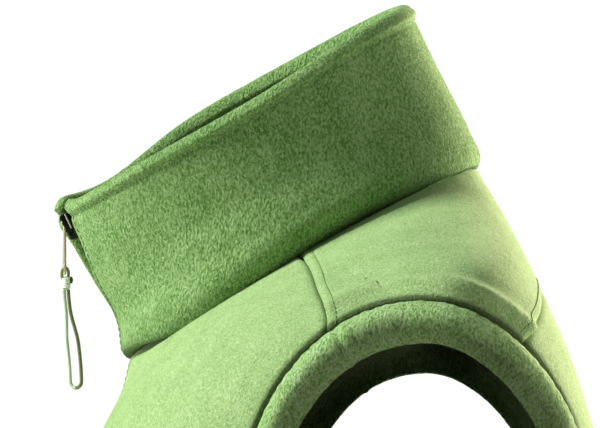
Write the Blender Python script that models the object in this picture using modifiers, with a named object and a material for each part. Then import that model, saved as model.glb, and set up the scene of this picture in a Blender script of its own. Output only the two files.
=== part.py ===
"""A fleece vest in the shape it takes when worn, with no wearer in it.

Metres, +Z up. The wearer looks along -Y, and their left side is +X. The origin is the middle of the
neck seam, where the neck and shoulders carry the vest.

The cloth lies on one form. A place on it is a turn round the body (0 at the centre front, 90 degrees
at the wearer's left side, 180 at the centre back) and a level, the distance up the side from the hem.
Each panel of the cutting pattern is a sheet over its own part of that form, thickened inwards.
"""

import math
from collections import namedtuple

import bmesh
import bpy
import numpy as np
from mathutils import Matrix, Vector

# Cloth and seams.
FLEECE = 0.003
SEAM_GAP = 0.0003
EDGE_STEP = 0.002

# Where the seams run, as levels, turns and degrees round the armhole from its top, positive to the back.
# Every seam meets the armhole at a whole number of steps, so that the band and the panels share corners.
NECK_LEVEL = 0.715
ZIP_HALF_GAP = 0.0045
SHOULDER_NECK_TURN = math.radians(90.5)
SHOULDER_ANGLE = -30
YOKE_ANGLE = 36
CHEST_ANGLE = -84
ANGLE_STEP = 6
YOKE_CENTRE_LEVEL = 0.592
YOKE_CORNER_TURN = math.radians(114)
SIDE_SEAM_HEM_TURN = math.radians(93)
ARMPIT_LEVEL = 0.350

# The lengths of some edges and how many steps their stations take. Panels that meet share theirs.
SIDE_SEAM = 0.37
SIDE_STEPS = 11
SHOULDER_SEAM = 0.14
SHOULDER_STEPS = 9
BACK_WIDTH = 0.36
BACK_STEPS = 18
COLLAR_ROUND = 0.48
COLLAR_STEPS = 48
FRONT_NECK = 0.10

# The left armhole's seam, an egg seen from the side. The band fills it from the seam inwards.
ARMHOLE_Y = 0.0538
ARMHOLE_Z = -0.120
ARMHOLE_HALF_WIDTH = 0.0743
ARMHOLE_UP = 0.0945
ARMHOLE_DOWN = 0.125
BAND_WIDTH = 0.0170
BAND_TURNED_FRONT = 0.0034
BAND_TURNED_BACK = 0.0076
BAND_WALL = 0.0042
BAND_ROLL = 0.0032
BAND_FALL = 0.0035
BAND_SUNK = 0.0008
RIDGE_FROM_SEAM = 0.011
RIDGE_WIDTH = 0.006
RIDGE_HEIGHT = 0.0016
SEAM_SINK = 0.0022
SEAM_SINK_WIDTH = 0.005

# The collar, a doubled wall with a turned top edge.
COLLAR_WALL = 0.0052
COLLAR_TOP = 0.081
COLLAR_HEIGHTS = (
    SEAM_GAP, 0.003, 0.006, 0.010, 0.016, 0.026, 0.040, 0.055, 0.064, 0.070, 0.0755, 0.0775,
)
COLLAR_BEND_DEGREES = (45, 90, 135)
SET_BACK = 0.0034
SET_BACK_FROM = 0.030
SET_BACK_OVER = 0.042
SET_BACK_TURN = math.radians(20)
EDGE_TURN = math.radians(6)
BULGE = 0.0018
BULGE_AT = 0.0685
BULGE_TALL = 0.0050
BULGE_TURN = math.radians(12)
BULGE_EDGE_TURN = math.radians(3.5)
COLLAR_SHUT_GAP = 0.0008
COLLAR_SHUT_FROM = 0.0757
COLLAR_SHUT_OVER = 0.0018

# The zip, its slider and the pull.
TAPE_WIDTH = 0.014
TAPE_IN_SLOT = 0.0036
TAPE_THICK = 0.0008
TAPE_DEPTH = FLEECE + 0.0008
SLOT_TAPE_DEPTH = 0.0034
ZIP_FOOT = 0.0120
ZIP_SECTIONS = 25
SLOT_SECTIONS = 9
ZIP_FROM_SEAM = 0.003
TAPE_NARROWS = 0.015
CHAIN_HALF_WIDTH = 0.0030
CHAIN_DEPTH = 0.0026
CHAIN_END = 0.0690
SLIDER_HEIGHT = 0.0690
SLIDER_LENGTH = 0.0125
SLIDER_WIDTH = 0.0074
SLIDER_PLATE = 0.0010
SLIDER_REAR_PLATE = 0.0012
SLIDER_REAR_WIDTH = 0.0048
SLIDER_REAR_LENGTH = 0.0112
SLIDER_REAR_ROOM = 0.0007
PIVOT_OUT = 0.0007
PIVOT_UP = 0.0020
NOSE_WIDTH = 0.0060
NOSE_LENGTH = 0.0045
NOSE_OUT = 0.0012
PIN_RADIUS = 0.0006
LUG_ASIDE = 0.0023
LUG_THICK = 0.0009
LUG_TALL = 0.0030
LUG_OVER_PIN = 0.0011
EYE_HOLE = 0.0010
EYE_RADIUS = 0.0017
EYE_WIDTH = 0.0023
TAB_LENGTH = 0.0235
TAB_WIDTH = 0.0052
TAB_THICK = 0.0012
TAB_SLOT_UP = 0.0030
TAB_SLOT_WIDTH = 0.0032
TAB_SLOT_HEIGHT = 0.0024
CORD_RADIUS = 0.00085
LOOP_LENGTH = 0.0440
LOOP_HALF_WIDTH = 0.0030
LOOP_START = 0.00115
LOOP_OPENS = 0.2
LOOP_OPENS_OVER = 0.4
LOOP_TURN = math.radians(40)
LOOP_DRIFT = 0.0046
HITCH_GAP = 0.0006
HITCH_LENGTH = 0.0058
HITCH_WIDTH = 0.0042
HITCH_DEPTH = 0.0040
HITCH_BACK = 0.0008
HITCH_RING_BACK = 0.0003
HITCH_RING_UP = 0.0012
HITCH_RING_REACH_Y = 0.0020
HITCH_RING_REACH_Z = 0.0028
HITCH_RING_RADIUS = 0.0007

SMALL = 1e-4

Ring = namedtuple(
    "Ring",
    "name level half_width side_y front_y back_y front_z side_z back_z front_power back_power",
)
BODY_RINGS = [
    Ring("hem", 0.000, 0.212, 0.012, -0.117, 0.126, -0.625, -0.620, -0.618, 2.3, 2.4),
    Ring("hip", 0.100, 0.207, 0.012, -0.118, 0.129, -0.522, -0.520, -0.519, 2.3, 2.4),
    Ring("waist", 0.215, 0.199, 0.013, -0.119, 0.125, -0.405, -0.405, -0.405, 2.3, 2.4),
    Ring("ribs", 0.310, 0.201, 0.020, -0.123, 0.133, -0.310, -0.310, -0.308, 2.4, 2.5),
    Ring("armpit", 0.385, 0.205, 0.030, -0.124, 0.142, -0.238, -0.236, -0.232, 2.4, 2.7),
    Ring("chest", 0.450, 0.208, 0.038, -0.118, 0.144, -0.180, -0.170, -0.160, 2.3, 3.0),
    Ring("shoulder_blade", 0.510, 0.208, 0.046, -0.109, 0.135, -0.132, -0.110, -0.093, 2.2, 3.2),
    Ring("shoulder_drop", 0.560, 0.205, 0.051, -0.0985, 0.1185, -0.098, -0.062, -0.040, 2.2, 3.0),
    Ring("shoulder_turn", 0.592, 0.194, 0.050, -0.0895, 0.107, -0.079, -0.034, -0.012, 2.1, 2.7),
    Ring("shoulder_slope", 0.645, 0.143, 0.026, -0.081, 0.0945, -0.061, -0.013, 0.016, 2.0, 2.4),
    Ring("neck", NECK_LEVEL, 0.070, 0.00135, -0.0768, 0.0795, -0.0436, -0.0002, 0.0432, 2.0, 2.0),
]

CollarRing = namedtuple(
    "CollarRing", "name level half_width front_y front_z back_y back_z lean dip tip heel twist"
)
COLLAR_RINGS = [
    CollarRing("seam", 0.000, 0.0700, -0.0768, -0.0436, 0.0795, 0.0432, 0, 0, 0, 0, 0),
    CollarRing("roll", 0.006, 0.0762, -0.0795, -0.0375, 0.0808, 0.0485, 0.0008, 0.0008, 0, 0, 0.5),
    CollarRing("low", 0.018, 0.0782, -0.0835, -0.0262, 0.0770, 0.0592, 0.0025, 0.0024, 0, 0, 1.8),
    CollarRing("middle", 0.04, 0.0735, -0.0935, -0.0090, 0.0678, 0.0775, 0.0055, 0.0056, 0.004, 0.001, 4.2),
    CollarRing("high", 0.06, 0.0712, -0.1024, 0.0068, 0.0587, 0.0955, 0.0080, 0.0084, 0.010, 0.003, 6.3),
    CollarRing("stitch", 0.073, 0.0704, -0.1087, 0.02, 0.0527, 0.1085, 0.0095, 0.0102, 0.015, 0.004, 7.4),
    CollarRing("top", COLLAR_TOP, 0.0700, -0.1098, 0.0282, 0.0492, 0.1167, 0.0105, 0.0112, 0.018, 0.005, 8.0),
]

# The band in section: shares across from its seam, and shares of its wall's depth.
BandPoint = namedtuple("BandPoint", "across depth")
BAND_SECTION = [
    BandPoint(0.018, 0),
    BandPoint(0.12, 0),
    BandPoint(0.34, 0),
    BandPoint(0.62, 0),
    BandPoint(0.88, 0.08),
    BandPoint(1.0, 0.5),
    BandPoint(0.88, 0.92),
    BandPoint(0.62, 1),
    BandPoint(0.34, 1),
    BandPoint(0.12, 1),
    BandPoint(0.018, 1),
]

# Turn and slant in degrees. A negative depth is a trough.
Fold = namedtuple("Fold", "name turn level slant length width depth")
FOLDS = [
    Fold("left_chest_hollow", 38, 0.560, 62, 0.070, 0.030, -0.0040),
    Fold("right_chest_hollow", 321, 0.555, 118, 0.075, 0.032, -0.0040),
    Fold("left_armpit_front", 66, 0.365, 35, 0.080, 0.018, 0.0050),
    Fold("right_armpit_front", 292, 0.370, 145, 0.075, 0.020, 0.0045),
    Fold("left_armpit_back", 122, 0.360, 140, 0.090, 0.020, 0.0055),
    Fold("right_armpit_back", 240, 0.350, 42, 0.085, 0.019, 0.0050),
    Fold("left_side_drape", 84, 0.200, 84, 0.130, 0.020, -0.0060),
    Fold("right_side_drape", 279, 0.190, 97, 0.125, 0.022, -0.0060),
    Fold("left_front_drape", 47, 0.120, 98, 0.110, 0.026, -0.0050),
    Fold("right_front_drape", 310, 0.135, 84, 0.120, 0.024, -0.0050),
    Fold("left_waist", 128, 0.205, 12, 0.060, 0.016, -0.0045),
    Fold("right_waist", 226, 0.222, 166, 0.065, 0.015, -0.0040),
    Fold("back_left_drape", 153, 0.110, 88, 0.130, 0.026, -0.0060),
    Fold("back_right_drape", 203, 0.130, 93, 0.140, 0.025, -0.0055),
    Fold("back_spine", 181, 0.330, 90, 0.150, 0.035, -0.0045),
]
FOLD_RADIUS = 0.165


def through(rings, column, level):
    """A smooth curve through one column of a table, read at these levels."""
    knots = np.array([ring.level for ring in rings])
    values = np.array([getattr(ring, column) for ring in rings])
    slopes = np.gradient(values, knots)
    left = np.clip(np.searchsorted(knots, level) - 1, 0, len(knots) - 2)
    span = knots[left + 1] - knots[left]
    t = (level - knots[left]) / span
    return (
        values[left] * (2 * t**3 - 3 * t**2 + 1)
        + values[left + 1] * (3 * t**2 - 2 * t**3)
        + slopes[left] * span * (t**3 - 2 * t**2 + t)
        + slopes[left + 1] * span * (t**3 - t**2)
    )


def unit(vectors):
    return vectors / np.linalg.norm(vectors, axis=-1, keepdims=True)


def facing(surface, across, up):
    """The outward normals of a surface given as a function of two numbers."""
    here = surface(across, up)
    return unit(np.cross(surface(across + SMALL, up) - here, surface(across, up + SMALL) - here))


def body(turn, level):
    """The smooth form of the body of the vest."""
    turn, level = np.broadcast_arrays(np.asarray(turn, float), np.asarray(level, float))
    ring = {name: through(BODY_RINGS, name, level) for name in Ring._fields[2:]}
    along, out = np.cos(turn), np.abs(np.sin(turn))
    power = np.where(along > 0, ring["front_power"], ring["back_power"])
    radius = (np.abs(along) ** power + out**power) ** (-1 / power)
    ahead = radius * along
    depth = np.where(ahead > 0, ring["side_y"] - ring["front_y"], ring["back_y"] - ring["side_y"])
    tilt = (ring["front_z"] - ring["back_z"]) / 2
    bow = (ring["front_z"] + ring["back_z"]) / 2 - ring["side_z"]
    return np.stack(
        [
            ring["half_width"] * radius * np.sin(turn),
            ring["side_y"] - depth * ahead,
            ring["side_z"] + tilt * ahead + bow * ahead**2,
        ],
        axis=-1,
    )


def from_armhole(points):
    """How far points of the body lie outside the armhole's seam, seen from the side."""
    y = (points[..., 1] - ARMHOLE_Y) / ARMHOLE_HALF_WIDTH
    reach = np.where(points[..., 2] > ARMHOLE_Z, ARMHOLE_UP, ARMHOLE_DOWN)
    z = (points[..., 2] - ARMHOLE_Z) / reach
    return (np.hypot(y, z) - 1) * ARMHOLE_HALF_WIDTH


def relief(turn, level, points):
    """How far folds and seams lift the cloth off the smooth form."""
    lift = np.zeros(points.shape[:-1])
    for fold in FOLDS:
        across = (turn - math.radians(fold.turn)) * FOLD_RADIUS
        up = level - fold.level
        slant = math.radians(fold.slant)
        along = across * math.cos(slant) + up * math.sin(slant)
        aside = up * math.cos(slant) - across * math.sin(slant)
        lift += fold.depth * np.exp(-((along / fold.length) ** 2) - (aside / fold.width) ** 2)
    away = from_armhole(points)
    lift += RIDGE_HEIGHT * np.exp(-(((away - RIDGE_FROM_SEAM) / RIDGE_WIDTH) ** 2))
    lift -= SEAM_SINK * np.exp(-((away / SEAM_SINK_WIDTH) ** 2))
    return lift


def skin(turn, level):
    """The outer face of the cloth: the form with its folds."""
    turn, level = np.broadcast_arrays(np.asarray(turn, float), np.asarray(level, float))
    smooth = body(turn, level)
    return smooth + facing(body, turn, level) * relief(turn, level, smooth)[..., None]


def on_body(y, z):
    """Turn and level of the points on the wearer's left side that have this y and z."""
    turn = np.full(y.shape, math.radians(90))
    level = np.interp(
        z, [ring.side_z for ring in BODY_RINGS], [ring.level for ring in BODY_RINGS]
    )
    for _ in range(25):
        here = body(turn, level)
        by_turn = (body(turn + SMALL, level) - here) / SMALL
        by_level = (body(turn, level + SMALL) - here) / SMALL
        miss_y, miss_z = y - here[..., 1], z - here[..., 2]
        area = by_turn[..., 1] * by_level[..., 2] - by_turn[..., 2] * by_level[..., 1]
        turn_step = (miss_y * by_level[..., 2] - miss_z * by_level[..., 1]) / area
        level_step = (miss_z * by_turn[..., 1] - miss_y * by_turn[..., 2]) / area
        turn = turn + np.clip(turn_step, -0.2, 0.2)
        level = level + np.clip(level_step, -0.02, 0.02)
    return turn, level


def armhole(angle, inset=0.0):
    """Turn and level round the left armhole's seam, or round an oval inset from it in side view."""
    reach = np.where(np.cos(angle) > 0, ARMHOLE_UP, ARMHOLE_DOWN) - inset
    y = ARMHOLE_Y + (ARMHOLE_HALF_WIDTH - inset) * np.sin(angle)
    return on_body(y, ARMHOLE_Z + reach * np.cos(angle))


def steps(count, length):
    """Numbers from 0 to 1 with a short first and last step, so that a sheet's edges stay crisp."""
    edge = EDGE_STEP / length
    return np.concatenate([[0], np.linspace(edge, 1 - edge, count - 1), [1]])


def mix(start, end, share):
    return start + (end - start) * share


def eased(share):
    """From 0 to 1 with soft ends."""
    share = np.clip(share, 0, 1)
    return share * share * (3 - 2 * share)


def zip_turn(level):
    """The turn of the front edge beside the zip."""
    return np.arcsin(ZIP_HALF_GAP / through(BODY_RINGS, "half_width", level))


def side_seam(share):
    """Turn and level up the left side seam, from the hem to the armpit."""
    turn, level = armhole(np.array([math.pi]))
    return mix(SIDE_SEAM_HEM_TURN, turn[0], share), level[0] * share


def round_hole(start, end):
    """Angles round the armhole from one whole degree to another, in radians and in even steps."""
    count = abs(end - start) // ANGLE_STEP + 1
    return np.radians(np.linspace(start, end, count))


def front_places():
    """Turn and level of the left front: a row runs from the zip or the neck to the side or the armhole."""
    up_side = steps(SIDE_STEPS, SIDE_SEAM)[:-1]
    up_armhole = round_hole(-180, CHEST_ANGLE)[:-1]
    over_chest = round_hole(CHEST_ANGLE, SHOULDER_ANGLE)
    seam_turn, seam_level = side_seam(up_side)
    hole_turn, hole_level = armhole(np.concatenate([up_armhole, over_chest]))
    to_chest = np.linspace(0, 1, len(up_armhole) + 1)[:-1]
    round_neck = steps(len(over_chest) - 1, FRONT_NECK)
    front_level = np.concatenate(
        [mix(0, ARMPIT_LEVEL, up_side), mix(ARMPIT_LEVEL, NECK_LEVEL, to_chest)]
    )
    inner_turn = np.concatenate(
        [zip_turn(front_level), mix(zip_turn(NECK_LEVEL), SHOULDER_NECK_TURN, round_neck)]
    )
    inner_level = np.concatenate([front_level, np.full(round_neck.shape, NECK_LEVEL)])
    outer_turn = np.concatenate([seam_turn, hole_turn])
    outer_level = np.concatenate([seam_level, hole_level])
    across = steps(SHOULDER_STEPS, SHOULDER_SEAM)
    return (
        mix(inner_turn[:, None], outer_turn[:, None], across),
        mix(inner_level[:, None], outer_level[:, None], across),
    )


def back_places():
    """Turn and level of the back: a row runs from the left side or armhole to the right one."""
    up_side = steps(SIDE_STEPS, SIDE_SEAM)[:-1]
    up_armhole = round_hole(180, YOKE_ANGLE)
    seam_turn, seam_level = side_seam(up_side)
    hole_turn, hole_level = armhole(up_armhole)
    outer_turn = np.concatenate([seam_turn, hole_turn])[:, None]
    outer_level = np.concatenate([seam_level, hole_level])[:, None]
    to_yoke = np.linspace(0, 1, len(up_armhole))
    centre_level = np.concatenate(
        [mix(0, ARMPIT_LEVEL, up_side), mix(ARMPIT_LEVEL, YOKE_CENTRE_LEVEL, to_yoke)]
    )
    across = steps(BACK_STEPS, BACK_WIDTH)
    turn = mix(outer_turn, 2 * math.pi - outer_turn, across)
    level = mix(outer_level, centre_level[:, None], np.sin(math.pi * across))
    return turn, level


def yoke_places():
    """Turn and level of the yoke: a column runs from its outer edge up to the neck."""
    back_turn, back_level = (places[-1] for places in back_places())
    over_arm = round_hole(SHOULDER_ANGLE, YOKE_ANGLE)[:-1]
    hole_turn, hole_level = armhole(over_arm)
    outer_turn = np.concatenate([hole_turn, back_turn, 2 * math.pi - hole_turn[::-1]])
    outer_level = np.concatenate([hole_level, back_level, hole_level[::-1]])
    share = np.linspace(0, 1, len(over_arm) + 1)[:-1]
    to_corner = mix(SHOULDER_NECK_TURN, YOKE_CORNER_TURN, share)
    share = (back_turn - back_turn[0]) / (back_turn[-1] - back_turn[0])
    over_back = mix(YOKE_CORNER_TURN, 2 * math.pi - YOKE_CORNER_TURN, share)
    neck_turn = np.concatenate([to_corner, over_back, 2 * math.pi - to_corner[::-1]])
    up = steps(SHOULDER_STEPS, SHOULDER_SEAM)[:, None]
    return mix(outer_turn, neck_turn, up), mix(outer_level, NECK_LEVEL, up)


def material(name, colour, roughness, metallic=0.0):
    made = bpy.data.materials.new(name)
    made.use_nodes = True
    shader = made.node_tree.nodes["Principled BSDF"]
    shader.inputs["Base Color"].default_value = (*colour, 1)
    shader.inputs["Roughness"].default_value = roughness
    shader.inputs["Metallic"].default_value = metallic
    return made


def placed(name, mesh, finish):
    """An object with this mesh and finish, in the vest's collection."""
    mesh.materials.append(finish)
    mesh.shade_smooth()
    made = bpy.data.objects.new(name, mesh)
    bpy.data.collections["fleece_vest"].objects.link(made)
    return made


def as_mesh(name, bm):
    bmesh.ops.recalc_face_normals(bm, faces=bm.faces)
    mesh = bpy.data.meshes.new(name)
    bm.to_mesh(mesh)
    bm.free()
    return mesh


def drawn_in(points):
    """The sheet with its four edges pulled back by half a seam's gap."""
    moved = points.copy()
    for edge, inner in ((0, 1), (-1, -2)):
        moved[edge] += unit(points[inner] - points[edge]) * SEAM_GAP / 2
        moved[:, edge] += unit(points[:, inner] - points[:, edge]) * SEAM_GAP / 2
    return moved


def panel(name, turn, level, finish):
    """A panel of the pattern: a grid laid on the form and thickened inwards."""
    points = drawn_in(skin(turn, level))
    rows, columns = turn.shape
    bm = bmesh.new()
    bmesh.ops.create_grid(bm, x_segments=columns - 1, y_segments=rows - 1, size=1)
    for vertex, point in zip(bm.verts, points.reshape(-1, 3)):
        vertex.co = point
    mesh = bpy.data.meshes.new(name)
    bm.to_mesh(mesh)
    bm.free()
    made = placed(name, mesh, finish)
    wall = made.modifiers.new("cloth", "SOLIDIFY")
    wall.thickness = FLEECE
    wall.offset = -1
    wall.use_even_offset = True
    return made


def loft(name, sections, finish, closed=False):
    """A skin over closed sections in a row. An open row has its ends capped across the section."""
    bm = bmesh.new()
    loops = [[bm.verts.new(point) for point in section] for section in sections]
    count = len(loops[0])
    pairs = list(zip(loops, loops[1:] + loops[:1])) if closed else list(zip(loops, loops[1:]))
    for near, far in pairs:
        for k in range(count):
            after = (k + 1) % count
            bm.faces.new((near[k], near[after], far[after], far[k]))
    if not closed:
        for end in (loops[0], loops[-1]):
            for k in range(count // 2 - 1):
                corners = (end[k], end[k + 1], end[-k - 2], end[-k - 1])
                bm.faces.new(corners)
            if count % 2:
                bm.faces.new(end[count // 2 - 1 : count // 2 + 2])
    return placed(name, as_mesh(name, bm), finish)


def collar(turn, height, bulge=BULGE):
    """The outer face of the collar, from the neck seam up.

    Its left front edge lies deeper than its right, which bulges forward round the slider.
    """
    turn, height = np.broadcast_arrays(np.asarray(turn, float), np.asarray(height, float))
    ring = {name: through(COLLAR_RINGS, name, height) for name in CollarRing._fields[2:]}
    turned = turn + np.radians(ring["twist"])
    from_zip = np.where(turn > math.pi, turn - 2 * math.pi, turn)
    left_side = np.clip(from_zip / EDGE_TURN + 0.5, 0, 1)
    set_back = SET_BACK * eased((height - SET_BACK_FROM) / SET_BACK_OVER) * left_side
    set_back = set_back * np.exp(-((from_zip / SET_BACK_TURN) ** 2))
    right_side = np.clip(-from_zip / BULGE_EDGE_TURN, 0, 1)
    near_slider = np.exp(-(((height - BULGE_AT) / BULGE_TALL) ** 2) - (from_zip / BULGE_TURN) ** 2)
    set_back = set_back - bulge * right_side * near_slider
    ahead, aside = np.cos(turned), np.sin(turned)
    half_y = (ring["back_y"] - ring["front_y"]) / 2
    half_z = (ring["back_z"] - ring["front_z"]) / 2
    slope = np.hypot(half_y, half_z)
    dip = ring["dip"] * aside
    dip = dip + ring["tip"] * np.clip(ahead, 0, 1) ** 3 * aside**2 * (1 - aside)
    dip = dip - ring["heel"] * np.clip(-ahead, 0, 1) ** 2 * aside**2 * (1 + aside)
    return np.stack(
        [
            ring["lean"] + ring["half_width"] * aside,
            (ring["front_y"] + ring["back_y"]) / 2 - half_y * ahead + dip * half_z / slope + set_back,
            (ring["front_z"] + ring["back_z"]) / 2 - half_z * ahead - dip * half_y / slope,
        ],
        axis=-1,
    )


def collar_gap(height):
    """Half the gap between the collar's front edges: a zip's width, and shut above the slider."""
    return mix(ZIP_HALF_GAP, COLLAR_SHUT_GAP, eased((height - COLLAR_SHUT_FROM) / COLLAR_SHUT_OVER))


def collar_edge(height):
    """The turn of the collar's left front edge."""
    return np.arcsin(collar_gap(height) / through(COLLAR_RINGS, "half_width", height))


def flat_collar(turn, height):
    """The collar without the bulge round the slider."""
    return collar(turn, height, 0.0)


def slot_facing(height):
    """The way out of the collar's zip slot, between those of its two edges."""
    edge = collar_edge(height)
    return unit(facing(flat_collar, edge, height) + facing(flat_collar, -edge, height))


def make_collar(finish):
    """The doubled collar: up the outside, over the turned edge and down the inside."""
    round_off = COLLAR_WALL / 2
    lean = np.radians(COLLAR_BEND_DEGREES)
    wall = np.array(COLLAR_HEIGHTS)
    height = np.concatenate([wall, COLLAR_TOP - round_off * (1 - np.sin(lean)), wall[::-1]])
    depth = np.concatenate(
        [np.zeros(len(wall)), round_off * (1 - np.cos(lean)), np.full(len(wall), COLLAR_WALL)]
    )
    end = collar_edge(height)
    stations = steps(COLLAR_STEPS, COLLAR_ROUND)[:, None]
    turn = mix(end, 2 * math.pi - end, stations)
    heights = np.broadcast_to(height, turn.shape)
    points = collar(turn, heights) - facing(collar, turn, heights) * depth[:, None]
    return loft("collar", points, finish)


def band_roll(across):
    """How far the band's outer face stands off the body's form, across from its seam."""
    return BAND_ROLL * np.sin(math.pi * across) ** 0.8 - BAND_FALL * across**3 - BAND_SUNK


def make_band(side, finish):
    """The turned binding of one armhole, a rolled ring from the seam inwards."""
    angle = round_hole(-180, 180)[:-1, None]
    across = np.array([point.across for point in BAND_SECTION])
    depth = BAND_WALL * np.array([point.depth for point in BAND_SECTION])
    seam = armhole(angle[:, 0])
    aside = np.sin(angle[:, 0])
    turned = np.where(aside > 0, BAND_TURNED_BACK, BAND_TURNED_FRONT) * aside**2
    edge = armhole(angle[:, 0], BAND_WIDTH - turned)
    turn = mix(seam[0][:, None], edge[0][:, None], across)
    level = mix(seam[1][:, None], edge[1][:, None], across)
    points = body(turn, level) + facing(body, turn, level) * (band_roll(across) - depth)[:, None]
    if side == "right":
        points = points * (-1, 1, 1)
    return loft(f"armhole_band_{side}", points, finish, closed=True)


def zip_profile(reach, depth):
    """Half of the zip in section, as distances from its middle line and behind the cloth's outer face."""
    back = depth + TAPE_THICK
    return (
        (SEAM_GAP / 2, CHAIN_DEPTH),
        (CHAIN_HALF_WIDTH, CHAIN_DEPTH),
        (CHAIN_HALF_WIDTH, depth),
        (reach, depth),
        (reach, back),
        (SEAM_GAP / 2, back),
    )


def make_zip(side, finish):
    """One half of the zip: a tape behind the front's edge, with half the chain standing on it."""
    away = 1 if side == "left" else -1
    sections = []
    wide_end = NECK_LEVEL - TAPE_NARROWS
    end = NECK_LEVEL - ZIP_FROM_SEAM
    for level in np.append(np.linspace(ZIP_FOOT, wide_end, ZIP_SECTIONS), end):
        reach = TAPE_WIDTH if level <= wide_end else TAPE_IN_SLOT
        half_width = through(BODY_RINGS, "half_width", level)
        section = []
        for across, depth in zip_profile(reach, TAPE_DEPTH):
            turn = np.arcsin(away * across / half_width)
            section.append(skin(turn, level) - facing(skin, turn, level) * depth)
        sections.append(section)
    for height in np.linspace(ZIP_FROM_SEAM, CHAIN_END, SLOT_SECTIONS):
        middle = collar(0.0, height)
        out = slot_facing(height)
        up = unit(collar(0.0, height + SMALL) - middle)
        aside = unit(np.cross(up, out)) * away
        profile = zip_profile(TAPE_IN_SLOT, SLOT_TAPE_DEPTH)
        sections.append([middle + aside * across - out * depth for across, depth in profile])
    return loft(f"zip_{side}", sections, finish)


def slider_frame():
    """The slider's place on the collar: its middle, with its axes across, up the zip and out."""
    middle = collar(0.0, SLIDER_HEIGHT)
    up = Vector(collar(0.0, SLIDER_HEIGHT + SMALL) - middle).normalized()
    across = up.cross(Vector(slot_facing(SLIDER_HEIGHT))).normalized()
    out = across.cross(up)
    return Matrix.Translation(Vector(middle)) @ Matrix((across, up, out)).transposed().to_4x4()


def box(bm, size, middle):
    """Adds a box to a mesh in the making."""
    made = bmesh.ops.create_cube(bm, size=1)["verts"]
    bmesh.ops.scale(bm, verts=made, vec=size)
    bmesh.ops.translate(bm, verts=made, vec=middle)


def joined(target, *others):
    """Makes one solid of overlapping ones with Boolean unions, and hides what was added."""
    for other in others:
        union = target.modifiers.new(other.name, "BOOLEAN")
        union.operation = "UNION"
        union.object = other
        hide(other)


def cut(target, *cutters):
    for cutter in cutters:
        away = target.modifiers.new(cutter.name, "BOOLEAN")
        away.operation = "DIFFERENCE"
        away.object = cutter
        hide(cutter)


def hide(helper):
    helper.hide_render = True
    helper.display_type = "WIRE"
    bpy.data.collections["fleece_vest"].objects.unlink(helper)
    bpy.data.collections["helpers"].objects.link(helper)


def block(name, size, middle, finish):
    bm = bmesh.new()
    box(bm, size, middle)
    return placed(name, as_mesh(name, bm), finish)


def rod(name, radius, length, middle, finish, segments=16):
    """A cylinder along X."""
    bm = bmesh.new()
    bmesh.ops.create_cone(
        bm, cap_ends=True, segments=segments, radius1=radius, radius2=radius, depth=length
    )
    bmesh.ops.rotate(bm, verts=bm.verts, matrix=Matrix.Rotation(math.radians(90), 3, "Y"))
    bmesh.ops.translate(bm, verts=bm.verts, vec=middle)
    return placed(name, as_mesh(name, bm), finish)


def make_slider(finish):
    """Two plates round the chain and a post above its end, with a nose and lugs that hold a level pin."""
    place = slider_frame()
    front = -CHAIN_DEPTH + SEAM_GAP + SLIDER_PLATE / 2
    rear = -SLOT_TAPE_DEPTH - TAPE_THICK - SLIDER_REAR_ROOM - SLIDER_REAR_PLATE / 2
    post = CHAIN_END - SLIDER_HEIGHT + SEAM_GAP
    post_length = SLIDER_LENGTH / 2 - post
    lug_length = PIVOT_OUT + LUG_OVER_PIN - front
    parts = [
        block("slider", (SLIDER_WIDTH, SLIDER_LENGTH, SLIDER_PLATE), (0, 0, front), finish),
        block(
            "slider_rear",
            (SLIDER_REAR_WIDTH, SLIDER_REAR_LENGTH, SLIDER_REAR_PLATE),
            (0, (SLIDER_REAR_LENGTH - SLIDER_LENGTH) / 2, rear),
            finish,
        ),
        block(
            "slider_post",
            (SLIDER_WIDTH / 2, post_length, front - rear),
            (0, post + post_length / 2, (front + rear) / 2),
            finish,
        ),
        block(
            "slider_nose",
            (NOSE_WIDTH, NOSE_LENGTH, NOSE_OUT - front),
            (0, (NOSE_LENGTH - SLIDER_LENGTH) / 2, (NOSE_OUT + front) / 2),
            finish,
        ),
    ]
    for side in (-1, 1):
        middle = (side * LUG_ASIDE, PIVOT_UP, front + lug_length / 2)
        parts.append(block(f"slider_lug_{side}", (LUG_THICK, LUG_TALL, lug_length), middle, finish))
    pin = rod("slider_pin", PIN_RADIUS, 2 * LUG_ASIDE + LUG_THICK / 2, (0, 0, 0), finish)
    for part in parts:
        part.matrix_world = place
    pin.matrix_world = pivot_frame()
    joined(*parts, pin)


def pivot_frame():
    """The pull's pivot: X along its level pin, and Z plumb."""
    place = slider_frame()
    across = place.to_3x3().col[0]
    level = Matrix.Rotation(math.atan2(across.y, across.x), 4, "Z")
    return Matrix.Translation(place @ Vector((0, PIVOT_UP, PIVOT_OUT))) @ level


def make_tab(pivot, finish):
    """The flat pull, hanging from an eye round the slider's pin, with a slot for the cord."""
    plate_top = -EYE_RADIUS * 0.7
    plate = block(
        "pull_tab",
        (TAB_WIDTH, TAB_THICK, TAB_LENGTH + plate_top),
        (0, 0, (plate_top - TAB_LENGTH) / 2),
        finish,
    )
    for vertex in plate.data.vertices:
        if vertex.co.z > -TAB_LENGTH / 2:
            vertex.co.x *= EYE_WIDTH / TAB_WIDTH
    soften = plate.modifiers.new("edges", "BEVEL")
    soften.width = 0.0004
    soften.segments = 2
    eye = rod("tab_eye", EYE_RADIUS, EYE_WIDTH, (0, 0, 0), finish, segments=20)
    hole = rod("tab_hole", EYE_HOLE, 8 * EYE_WIDTH, (0, 0, 0), finish, segments=20)
    window = block(
        "tab_slot",
        (TAB_SLOT_WIDTH, 8 * TAB_THICK, TAB_SLOT_HEIGHT),
        (0, 0, TAB_SLOT_UP - TAB_LENGTH),
        finish,
    )
    for part in (plate, eye, hole, window):
        part.matrix_world = pivot
    joined(plate, eye)
    cut(plate, hole, window)


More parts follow.
